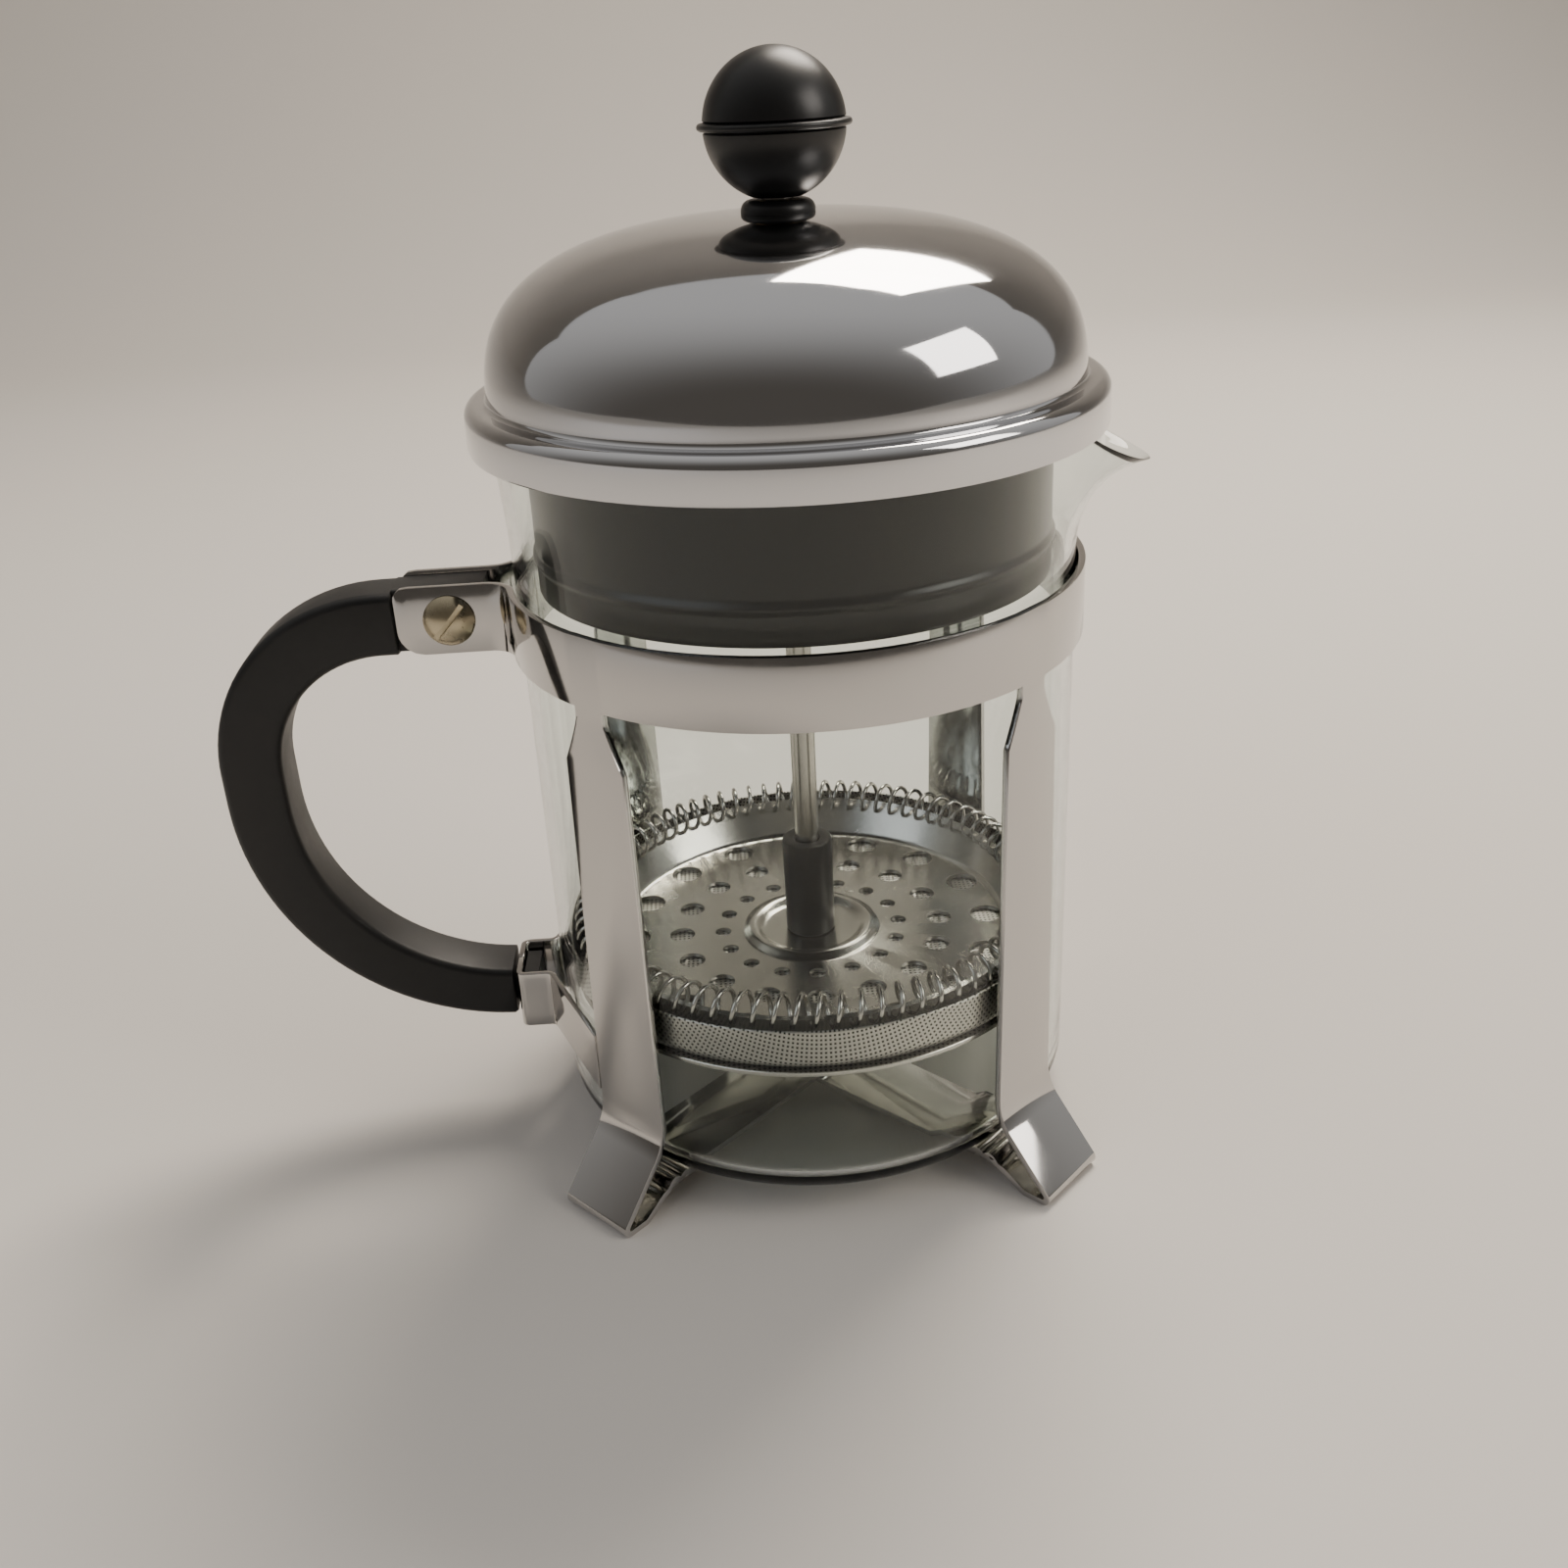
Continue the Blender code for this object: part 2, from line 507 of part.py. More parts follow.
def handle_stations():
    """(x, z, turn, width, depth, edge) along the handle, from the tang to the pocket."""
    shoulder_x = -sqrt((BAND_MID_R + BAND_BEND) ** 2 - (TAB_MID_Y + BAND_BEND) ** 2) - TAB_LENGTH
    shoulder_x -= GAP
    tang_edge = 0.4 * MM
    stations = [(TANG_START_X, HANDLE_TOP_Z, 0, TANG_WIDE, TANG_DEEP, tang_edge),
                (shoulder_x, HANDLE_TOP_Z, 0, TANG_WIDE, TANG_DEEP, tang_edge),
                (shoulder_x, HANDLE_TOP_Z, 0, HANDLE_WIDE, HANDLE_DEEP, HANDLE_EDGE)]
    bend_z = HANDLE_TOP_Z - HANDLE_BEND
    for i in range(9):
        turn = i / 8 * pi / 2
        stations.append((HANDLE_BEND_X - HANDLE_BEND * sin(turn), bend_z + HANDLE_BEND * cos(turn),
                         turn, HANDLE_WIDE, HANDLE_DEEP, HANDLE_EDGE))
    middle_x = HANDLE_BEND_X - HANDLE_BEND + HANDLE_SWEEP
    pocket_x = -POCKET_REACH - GAP - 0.3 * MM
    last = pi / 2 - (pocket_x - middle_x) / -HANDLE_SWEEP
    for i in range(11):
        turn = last * i / 10
        deep = HANDLE_DEEP + (HANDLE_DEEP_LOW - HANDLE_DEEP) * i / 10
        stations.append((middle_x - HANDLE_SWEEP * cos(turn), HANDLE_SWEEP_Z - HANDLE_SWEEP * sin(turn),
                         pi / 2 + turn, HANDLE_WIDE, deep, HANDLE_EDGE))
    low_z = BRACKET_BOTTOM + BRACKET_HEIGHT / 2
    head_x = -(POCKET_REACH - BRACKET_SHEET) + GAP
    slim, blunt = 0.3 * MM, 0.8 * MM
    stations += [(pocket_x, low_z, pi, NECK_WIDE, NECK_DEEP, slim),
                 (head_x, low_z, pi, NECK_WIDE, NECK_DEEP, slim),
                 (head_x, low_z, pi, HEAD_WIDE, HEAD_DEEP, blunt),
                 (head_x + HEAD_THICK, low_z, pi, HEAD_WIDE, HEAD_DEEP, blunt)]
    return stations


def handle():
    rings = []
    for x, z, turn, wide, deep, edge in handle_stations():
        rings.append([(x - outward * sin(turn), sideways, z + outward * cos(turn))
                      for sideways, outward in section(wide, deep, edge)])
    bm = bmesh.new()
    loft(bm, rings)
    grip = place(mesh_object("handle", bm), black_plastic("moulded handle"))
    hole = bmesh.new()
    turn = Matrix.Translation((SCREW_X, 0, SCREW_Z)) @ Matrix.Rotation(pi / 2, 4, "X")
    add_cylinder(hole, SCREW_R + GAP, 2 * TANG_WIDE, turn)
    cut(grip, cutter("handle screw hole", hole))
    return grip


# --- clamp --------------------------------------------------------------------------------
def clamp_screw():
    """Turned along Z, then laid along Y with its head on the -Y side."""
    outer = TAB_MID_Y + SHEET / 2
    under = outer + GAP
    far = -(outer + GAP + NUT_HEIGHT + 0.6 * MM)
    crown = arc(0, under + SCREW_HEAD - 4.6 * MM, 4.6 * MM, pi / 2, pi / 2 - radians(50), 4)
    profile = crown[:-1] + [(SCREW_HEAD_R, under + 0.5 * MM), (SCREW_HEAD_R, under),
                            (SCREW_R, under), (SCREW_R, far), (0, far)]
    screw = turned("clamp_screw", profile, steel("screw steel"), STEPS_SMALL)
    screw.rotation_euler.x = pi / 2
    screw.location = (AXIS_X + SCREW_X, 0, SCREW_Z)
    bm = bmesh.new()
    top = under + SCREW_HEAD
    add_box(bm, (-2 * SCREW_HEAD_R, -SLOT_WIDE / 2, top - SLOT_DEEP),
            (2 * SCREW_HEAD_R, SLOT_WIDE / 2, top + SLOT_DEEP))
    slot = cutter("screw slot", bm)
    slot.rotation_euler = (pi / 2, -SLOT_TURN, 0)
    slot.location = screw.location
    cut(screw, slot)
    return screw


def hexagon_nut(name, across, height, bore, material):
    """A hexagon with a bore, about Z, its underside at the object's origin."""
    bm = bmesh.new()
    add_cylinder(bm, across / sqrt(3), height, Matrix.Translation((0, 0, height / 2)), 6)
    nut = place(mesh_object(name, bm), material)
    hole = bmesh.new()
    add_cylinder(hole, bore, 3 * height, Matrix.Translation((0, 0, height / 2)), STEPS_SMALL)
    cut(nut, cutter(name + " bore", hole))
    return nut


def clamp_nut():
    nut = hexagon_nut("clamp_nut", NUT_ACROSS, NUT_HEIGHT, SCREW_R + GAP, steel("nut steel"))
    tool = cutters.objects["clamp_nut bore"]
    for obj in (nut, tool):
        obj.rotation_euler.x = -pi / 2
        obj.location = (AXIS_X + SCREW_X, TAB_MID_Y + SHEET / 2 + GAP, SCREW_Z)
    return nut


# --- beaker -------------------------------------------------------------------------------
def wall_radius(z):
    """Outer radius of the glass at a height, above its bottom corner."""
    rise = max(0.0, (z - FLARE_START) / (BEAKER_RIM - FLARE_START))
    return BEAKER_R + BEAKER_FLARE * rise ** 1.5


def beaker_profile():
    lip = BEAKER_WALL / 2
    heights = [FLARE_START + (BEAKER_RIM - lip - FLARE_START) * i / 6 for i in range(7)]
    outside = [(wall_radius(z), z) for z in reversed(heights)]
    outside += arc(BEAKER_R - BEAKER_CORNER, BEAKER_BOTTOM + BEAKER_CORNER, BEAKER_CORNER,
                   0, -pi / 2, 5)
    inner_corner = BEAKER_CORNER - BEAKER_WALL
    floor_z = BEAKER_BOTTOM + BEAKER_FLOOR
    inside = arc(INNER_R - inner_corner, floor_z + inner_corner, inner_corner, -pi / 2, 0, 4)
    inside += [(wall_radius(z) - BEAKER_WALL, z) for z in heights]
    rim = (wall_radius(BEAKER_RIM) - lip, BEAKER_RIM)
    return [rim] + outside + [(0, BEAKER_BOTTOM), (0, floor_z)] + inside + [rim]


def spout_shift(angle, z):
    """How far the spout moves the wall out and down at an angle from +X and a height."""
    rise = max(0.0, (z - FLARE_START) / (BEAKER_RIM - FLARE_START))
    turn = min(1.0, abs(angle) / SPOUT_HALF_ANGLE)
    share = cos(turn * pi / 2) ** 2
    return SPOUT_REACH * share ** 1.6 * rise ** 1.3, -SPOUT_DROP * share ** 0.8 * rise ** 1.6


def beaker():
    profile = beaker_profile()
    glass = turned("beaker", profile, new_material("glass", (0.9, 0.95, 0.95), 0.02, 0.0, 0.35),
                   closed=False)
    glass = evaluated_copy(glass)
    parts.objects.link(glass)
    for vert in glass.data.vertices:
        out, down = spout_shift(atan2(vert.co.y, vert.co.x), vert.co.z)
        flat = hypot(vert.co.x, vert.co.y)
        if out > 0:
            vert.co.x *= (flat + out) / flat
            vert.co.y *= (flat + out) / flat
            vert.co.z += down
    bm = bmesh.new()
    bm.from_mesh(glass.data)
    bmesh.ops.remove_doubles(bm, verts=bm.verts, dist=0.000001)
    bmesh.ops.recalc_face_normals(bm, faces=bm.faces)
    bm.to_mesh(glass.data)
    bm.free()
    return glass


# --- lid ----------------------------------------------------------------------------------
def dome_height(r):
    return LEDGE_Z + DOME_RISE * (1 - (r / DOME_R) ** DOME_POWER) ** (1 / DOME_POWER)


def lid_dome():
    """Outer outline, moved in by half the sheet, from the middle out and down the skirt."""
    hole = STEM_R + GAP
    radii = [hole + (DOME_R * 0.86 - hole) * i / 5 for i in range(6)]
    radii += [DOME_R * share for share in (0.94, 0.98, 0.9999)]
    outline = [(r, dome_height(r)) for r in radii]
    outline += [(DOME_R + 0.6 * MM, LEDGE_Z + 0.35 * MM), (SKIRT_R - 1.2 * MM, LEDGE_Z),
                (SKIRT_R - 0.3 * MM, LEDGE_Z - 0.6 * MM), (SKIRT_R, LEDGE_Z - 1.6 * MM),
                (SKIRT_R, SKIRT_BOTTOM)]
    inset = []
    for i, (r, z) in enumerate(outline):
        before, after = outline[max(i - 1, 0)], outline[min(i + 1, len(outline) - 1)]
        run, fall = after[0] - before[0], after[1] - before[1]
        length = hypot(run, fall)
        inset.append((r + fall / length * LID_SHEET / 2, z - run / length * LID_SHEET / 2))
    return turned("lid_dome", inset, chrome("dome chrome"), STEPS_MIDDLE, closed=False,
                  thickness=LID_SHEET)


def lid_liner():
    top = BEAKER_RIM + GAP + LINER_FLANGE
    under = top - LINER_FLANGE
    inner = LINER_R - LINER_WALL
    profile = [(LINER_FLANGE_R, top), (LINER_FLANGE_R, under), (LINER_R, under),
               (LINER_R, LINER_RIB_Z + LINER_RIB), (LINER_R + LINER_RIB, LINER_RIB_Z),
               (LINER_R, LINER_RIB_Z - LINER_RIB), (LINER_R, LINER_BOTTOM),
               (inner, LINER_BOTTOM), (inner, under), (BOSS_R, under),
               (BOSS_R, under - BOSS_DROP), (BORE_R, under - BOSS_DROP), (BORE_R, top)]
    return turned("lid_liner", profile, black_plastic("liner plastic"), STEPS_MIDDLE)


def lid_bush():
    """Collar on top of the dome with a stem down through it, bored for the rod."""
    shoulder = arc(COLLAR_NECK_R, COLLAR_BASE + GAP, COLLAR_R - COLLAR_NECK_R, pi / 2, 0, 4)
    stem_end = DOME_TOP - LID_SHEET - STEM_DROP
    profile = [(BORE_R, COLLAR_TOP)] + shoulder
    profile += [(STEM_R, COLLAR_BASE + GAP), (STEM_R, stem_end), (BORE_R, stem_end)]
    return turned("lid_bush", profile, black_plastic("bush plastic"), STEPS_SMALL)


def lid_nut():
    top = DOME_TOP - LID_SHEET - GAP
    low = top - LID_NUT_HEIGHT
    profile = [(LID_NUT_R, top), (LID_NUT_R, low), (STEM_R + GAP, low), (STEM_R + GAP, top)]
    return turned("lid_nut", profile, steel("lid nut steel"), STEPS_SMALL)


# --- plunger --------------------------------------------------------------------------------
def knob():
    """Ball with a bead round its middle and a blind hole for its insert."""
    flat_r = sqrt(KNOB_R ** 2 - (KNOB_R - KNOB_SINK) ** 2)
    bead_r = KNOB_R + KNOB_BEAD
    near = atan2(KNOB_BEAD_HALF, KNOB_R)
    low = -pi / 2 + atan2(flat_r, KNOB_R - KNOB_SINK)
    profile = arc(0, KNOB_Z, KNOB_R, pi / 2, near, 6)
    profile[0] = (0, KNOB_Z + KNOB_R)
    profile += [(bead_r, KNOB_Z + KNOB_BEAD_HALF / 2), (bead_r, KNOB_Z - KNOB_BEAD_HALF / 2)]
    profile += arc(0, KNOB_Z, KNOB_R, -near, low, 6)
    profile += [(INSERT_R + GAP, KNOB_FLAT), (INSERT_R + GAP, INSERT_TOP + GAP), (0, INSERT_TOP + GAP)]
    return turned("knob", profile, black_plastic("knob plastic"), STEPS_SMALL, closed=False)


def knob_insert():
    low = KNOB_FLAT + GAP
    profile = [(INSERT_R, INSERT_TOP), (INSERT_R, low), (BORE_R, low), (BORE_R, INSERT_TOP)]
    return turned("knob_insert", profile, steel("brass insert"), STEPS_SMALL)


def plunger_rod():
    top = INSERT_TOP - GAP
    low = FILTER_Z - GAP - FILTER_NUT_HEIGHT - 0.8 * MM
    point = 0.5 * MM
    profile = [(0, top), (ROD_R - point, top), (ROD_R, top - point), (ROD_R, low + point),
               (ROD_R - point, low), (0, low)]
    return turned("plunger_rod", profile, steel("rod steel"), STEPS_SMALL, closed=False)


def spacer_sleeve():
    low = PLATE_Z + PLATE_SHEET + GAP
    profile = [(SLEEVE_R, SLEEVE_TOP), (SLEEVE_R, low), (BORE_R, low), (BORE_R, SLEEVE_TOP)]
    return turned("spacer_sleeve", profile, black_plastic("sleeve plastic"), STEPS_SMALL)


def filter_plate():
    """Dished disc with three rows of holes, a raised ring and an upturned rim."""
    z = PLATE_Z + PLATE_SHEET / 2
    half = 1.6 * MM
    profile = [(BORE_R, z), (BEAD_R - half, z), (BEAD_R - half / 2, z + BEAD_RISE),
               (BEAD_R + half / 2, z + BEAD_RISE), (BEAD_R + half, z), (PLATE_FLAT_R, z),
               (PLATE_FLAT_R + 1.2 * MM, z + 0.5 * MM), (PLATE_RIM_R, z + PLATE_RIM_RISE)]
    plate = turned("filter_plate", profile, steel("plate steel"), STEPS_MIDDLE,
                   closed=False, thickness=PLATE_SHEET)
    bm = bmesh.new()
    for ring_r, hole_r in HOLE_ROWS:
        for i in range(HOLES_PER_ROW):
            turn = Matrix.Rotation(2 * pi * i / HOLES_PER_ROW, 4, "Z")
            spot = turn @ Matrix.Translation((ring_r, 0, z))
            add_cylinder(bm, hole_r, 4 * MM, spot, 8)
    cut(plate, cutter("plate holes", bm))
    return plate


def filter_coil():
    """Spring wound into a ring: a closed helix about a circle."""
    curve = bpy.data.curves.new("filter_coil", "CURVE")
    curve.dimensions = "3D"
    curve.bevel_depth = COIL_WIRE_R
    curve.bevel_resolution = 0
    spline = curve.splines.new("POLY")
    count = COIL_TURNS * COIL_STEPS
    spline.points.add(count - 1)
    core = COIL_R - COIL_WIRE_R
    for i, point in enumerate(spline.points):
        around = 2 * pi * i / count
        wind = 2 * pi * i / COIL_STEPS
        r = COIL_RING_R + core * cos(wind)
        point.co = (r * cos(around), r * sin(around), COIL_Z + core * sin(wind), 1)
    spline.use_cyclic_u = True
    helix = evaluated_copy(bpy.data.objects.new("filter_coil", curve))
    return place(helix, steel("spring wire"))


def filter_mesh():
    z = MESH_Z + MESH_SHEET / 2
    rim = MESH_R - MESH_SHEET / 2
    bend = 2.0 * MM
    profile = [(BORE_R, z), (rim - bend, z), (rim - bend * 0.3, z + bend * 0.3), (rim, z + bend),
               (rim, z + MESH_RIM)]
    return turned("filter_mesh", profile, steel("woven mesh"), closed=False, thickness=MESH_SHEET)


def cross_plate():
    """Disc under the mesh with four windows between its spokes."""
    low, high = FILTER_Z, FILTER_Z + CROSS_SHEET
    outer = MESH_R - 0.4 * MM
    profile = [(outer, high), (outer, low), (BORE_R, low), (BORE_R, high)]
    plate = turned("cross_plate", profile, steel("cross plate steel"))
    bm = bmesh.new()
    open_to = atan2(SPOKE_HALF, WINDOW_OUTER)
    near = atan2(SPOKE_HALF, WINDOW_INNER)
    for quarter in range(4):
        base = quarter * pi / 2
        outline = arc(0, 0, WINDOW_OUTER, base + open_to, base + pi / 2 - open_to, 8)
        outline += arc(0, 0, WINDOW_INNER, base + pi / 2 - near, base + near, 2)
        rings = [[(x, y, height) for x, y in outline] for height in (low - MM, high + MM)]
        loft(bm, rings)
    cut(plate, cutter("cross plate windows", bm))
    return plate


def filter_nut():
    nut = hexagon_nut("filter_nut", FILTER_NUT_ACROSS, FILTER_NUT_HEIGHT, BORE_R,
                      steel("filter nut steel"))
    for obj in (nut, cutters.objects["filter_nut bore"]):
        obj.location.z = FILTER_Z - GAP - FILTER_NUT_HEIGHT
    return nut


clear_scene()
parts = new_collection("french_press")
cutters = new_collection("cutters")

frame_band()
lower_strip_z = STRIP_RISE - SHEET - GAP
leg_strap("leg_strap_upper", LEG_ANGLES[0], STRIP_RISE)
leg_strap("leg_strap_lower", -LEG_ANGLES[0], lower_strip_z)
base_rivet(lower_strip_z)
bracket("bracket_front", -1)
bracket("bracket_rear", 1)
handle()
clamp_screw()
clamp_nut()
beaker()
lid_dome()
lid_liner()
lid_bush()
lid_nut()
knob()
knob_insert()
plunger_rod()
spacer_sleeve()
filter_plate()
filter_coil()
filter_mesh()
cross_plate()
filter_nut()
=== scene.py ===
"""A french press: glass beaker in a chromed frame, domed lid and a plunger with a sprung filter.

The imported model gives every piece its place; this script gives the pieces their fine shape and
their finish, and sets up the studio and the camera.  Metres throughout, +Z up.
"""
import logging
from dataclasses import dataclass
from enum import Enum
from math import asin, atan2, cos, hypot, pi, radians, sin, sqrt, tau
from typing import Iterable, Sequence

import bmesh
import bpy
from mathutils import Matrix, Vector

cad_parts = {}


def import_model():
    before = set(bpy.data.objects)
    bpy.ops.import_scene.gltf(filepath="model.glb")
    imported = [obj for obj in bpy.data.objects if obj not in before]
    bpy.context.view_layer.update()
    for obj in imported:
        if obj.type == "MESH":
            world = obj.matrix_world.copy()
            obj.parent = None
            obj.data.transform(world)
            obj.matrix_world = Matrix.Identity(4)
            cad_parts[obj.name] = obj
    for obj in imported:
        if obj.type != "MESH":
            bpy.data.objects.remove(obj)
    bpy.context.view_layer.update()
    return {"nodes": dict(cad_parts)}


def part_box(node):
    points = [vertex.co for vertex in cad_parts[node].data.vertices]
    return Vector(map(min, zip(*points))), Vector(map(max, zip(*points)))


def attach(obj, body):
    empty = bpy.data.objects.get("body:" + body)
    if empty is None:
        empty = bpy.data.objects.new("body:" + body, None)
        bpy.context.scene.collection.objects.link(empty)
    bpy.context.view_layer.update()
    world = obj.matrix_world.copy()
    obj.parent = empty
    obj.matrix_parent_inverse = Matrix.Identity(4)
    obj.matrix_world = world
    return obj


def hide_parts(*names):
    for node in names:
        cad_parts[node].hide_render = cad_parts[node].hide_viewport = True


LOG = logging.getLogger("french_press")
MM = 0.001
Point = tuple[float, float]


# --- colour and nodes ------------------------------------------------------------------------
def linear(hex_colour: str, alpha: float = 1.0) -> tuple[float, float, float, float]:
    """Turn an sRGB hex value into the linear colour that shaders take.

    Args:
        hex_colour: a value such as "#8a8a88".
        alpha: the fourth channel.

    Returns:
        The four linear channels.
    """
    channels = [int(hex_colour[i:i + 2], 16) / 255 for i in (1, 3, 5)]
    red, green, blue = [c / 12.92 if c <= 0.04045 else ((c + 0.055) / 1.055) ** 2.4
                        for c in channels]
    return red, green, blue, alpha


def add_node(tree: bpy.types.NodeTree, kind: str, settings: dict | None = None,
             inputs: dict | None = None) -> bpy.types.Node:
    """Add a shader node.

    Args:
        tree: the material's node tree.
        kind: the node's type name, without the ShaderNode that it starts with.
        settings: attributes of the node and their values.
        inputs: input sockets and either a value or the output socket that feeds them.

    Returns:
        The new node.
    """
    node = tree.nodes.new("ShaderNode" + kind)
    for name, value in (settings or {}).items():
        setattr(node, name, value)
    for key, value in (inputs or {}).items():
        if isinstance(value, bpy.types.NodeSocket):
            tree.links.new(value, node.inputs[key])
        else:
            node.inputs[key].default_value = value
    return node


# --- finishes ---------------------------------------------------------------------------------
@dataclass(frozen=True)
class Finish:
    """What every finish has: a name, a colour and how rough and metallic its surface is."""

    name: str
    colour: str
    roughness: float
    metallic: float = 0.0

    def start(self) -> tuple[bpy.types.Material, bpy.types.NodeTree, bpy.types.Node]:
        """Make the material with its uniform values set on the shader itself."""
        material = bpy.data.materials.new(self.name)
        material.use_nodes = True
        tree = material.node_tree
        shader = tree.nodes["Principled BSDF"]
        shader.inputs["Base Color"].default_value = linear(self.colour)
        shader.inputs["Roughness"].default_value = self.roughness
        shader.inputs["Metallic"].default_value = self.metallic
        return material, tree, shader

    def build(self) -> bpy.types.Material:
        """Make the material."""
        return self.start()[0]


@dataclass(frozen=True)
class WipedMetal(Finish):
    """Plated or polished metal: a mirror whose sheen is uneven where it has been wiped."""

    smear: float = 0.05               # how much rougher the wiped patches are
    patch: float = 14 * MM            # size of a wiped patch
    grain: float = 0.0                # height of the rolled or drawn grain, 0 for plating
    grain_pitch: float = 0.5 * MM
    stretch: tuple[float, float, float] = (1.0, 1.0, 1.0)

    def build(self) -> bpy.types.Material:
        """Make the material."""
        material, tree, shader = self.start()
        place = add_node(tree, "TexCoord").outputs["Object"]
        patches = add_node(tree, "TexNoise", inputs={
            "Vector": place, "Scale": 1 / self.patch, "Detail": 6.0, "Roughness": 0.6})
        rough = add_node(tree, "MapRange", inputs={
            "Value": patches.outputs["Fac"], "From Min": 0.35, "From Max": 0.7,
            "To Min": self.roughness, "To Max": self.roughness + self.smear})
        tree.links.new(rough.outputs["Result"], shader.inputs["Roughness"])
        if self.grain:
            drawn = add_node(tree, "Mapping", inputs={
                "Vector": place, "Scale": self.stretch})
            lines = add_node(tree, "TexNoise", inputs={
                "Vector": drawn.outputs["Vector"], "Scale": 1 / self.grain_pitch, "Detail": 3.0})
            bump = add_node(tree, "Bump", inputs={
                "Height": lines.outputs["Fac"], "Distance": self.grain, "Strength": 0.6})
            tree.links.new(bump.outputs["Normal"], shader.inputs["Normal"])
        return material


@dataclass(frozen=True)
class MouldedPlastic(Finish):
    """Moulded plastic: a fine spark-eroded texture, with dust and handling on it."""

    pitch: float = 0.45 * MM          # coarser than the real 0.1 mm, so that it shows
    depth: float = 0.02 * MM
    dust: str = "#3a3a38"
    dusty: float = 0.3                # share of the dust's colour where it lies thickest
    cloud: float = 9 * MM             # size of a dusty patch

    def build(self) -> bpy.types.Material:
        """Make the material."""
        material, tree, shader = self.start()
        place = add_node(tree, "TexCoord").outputs["Object"]
        cloud = add_node(tree, "TexNoise", inputs={
            "Vector": place, "Scale": 1 / self.cloud, "Detail": 8.0, "Roughness": 0.65})
        share = add_node(tree, "MapRange", inputs={
            "Value": cloud.outputs["Fac"], "From Min": 0.45, "From Max": 0.8,
            "To Min": 0.0, "To Max": self.dusty})
        blend = add_node(tree, "Mix", {"data_type": "RGBA"}, {
            0: share.outputs["Result"], 6: linear(self.colour), 7: linear(self.dust)})
        tree.links.new(blend.outputs[2], shader.inputs["Base Color"])
        rough = add_node(tree, "MapRange", inputs={
            "Value": cloud.outputs["Fac"], "From Min": 0.3, "From Max": 0.8,
            "To Min": self.roughness - self.dusty / 6, "To Max": self.roughness + self.dusty / 2})
        tree.links.new(rough.outputs["Result"], shader.inputs["Roughness"])
        grit = add_node(tree, "TexNoise", inputs={
            "Vector": place, "Scale": 1 / self.pitch, "Detail": 2.0})
        bump = add_node(tree, "Bump", inputs={
            "Height": grit.outputs["Fac"], "Distance": self.depth, "Strength": 0.5})
        tree.links.new(bump.outputs["Normal"], shader.inputs["Normal"])
        return material


@dataclass(frozen=True)
class BlownGlass(Finish):
    """Borosilicate glass, machine blown: clear, faintly green at its edges, slightly wavy."""

    ior: float = 1.3                  # below the real 1.47, to keep the floor's glare off the liner
    wave: float = 0.03 * MM
    wave_pitch: float = 22 * MM

    def build(self) -> bpy.types.Material:
        """Make the material."""
        material, tree, shader = self.start()
        shader.inputs["Transmission Weight"].default_value = 1.0
        shader.inputs["IOR"].default_value = self.ior
        place = add_node(tree, "TexCoord").outputs["Object"]
        waves = add_node(tree, "TexNoise", inputs={
            "Vector": place, "Scale": 1 / self.wave_pitch, "Detail": 1.0})
        bump = add_node(tree, "Bump", inputs={
            "Height": waves.outputs["Fac"], "Distance": self.wave, "Strength": 0.4})
        tree.links.new(bump.outputs["Normal"], shader.inputs["Normal"])
        return material


@dataclass(frozen=True)
class WovenWire(Finish):
    """Plain-woven stainless wire cloth, read from the cloth's own flat layout in its UV map, with
    painted shade between its threads.
    """

    pitch: float = 0.75 * MM          # the real cloth has about 0.3 mm, too fine to show
    relief: float = 0.12 * MM
    # Painted shade: this dark colour in the weave's gaps stands in for the shade that the open
    # cloth shows between its threads.
    gap_shade: str = "#2b2a28"

    def build(self) -> bpy.types.Material:
        """Make the material."""
        material, tree, shader = self.start()
        layout = add_node(tree, "UVMap", {"uv_map": "cloth"}).outputs["UV"]
        split = add_node(tree, "SeparateXYZ", inputs={"Vector": layout})
        threads = []
        for axis in ("X", "Y"):
            turn = add_node(tree, "Math", {"operation": "MULTIPLY"}, {
                0: split.outputs[axis], 1: pi / (self.pitch / MM)})
            wave = add_node(tree, "Math", {"operation": "SINE"}, {0: turn.outputs[0]})
            thread = add_node(tree, "Math", {"operation": "ABSOLUTE"}, {0: wave.outputs[0]})
            threads.append(thread.outputs[0])
        height = add_node(tree, "Math", {"operation": "MAXIMUM"}, {
            0: threads[0], 1: threads[1]}).outputs[0]
        share = add_node(tree, "MapRange", inputs={
            "Value": height, "From Min": 0.45, "From Max": 0.85})
        # Where the threads dip, the dark colour is painted in as shade.
        blend = add_node(tree, "Mix", {"data_type": "RGBA"}, {
            0: share.outputs["Result"], 6: linear(self.gap_shade), 7: linear(self.colour)})
        tree.links.new(blend.outputs[2], shader.inputs["Base Color"])
        bump = add_node(tree, "Bump", inputs={
            "Height": height, "Distance": self.relief, "Strength": 0.7})
        tree.links.new(bump.outputs["Normal"], shader.inputs["Normal"])
        return material


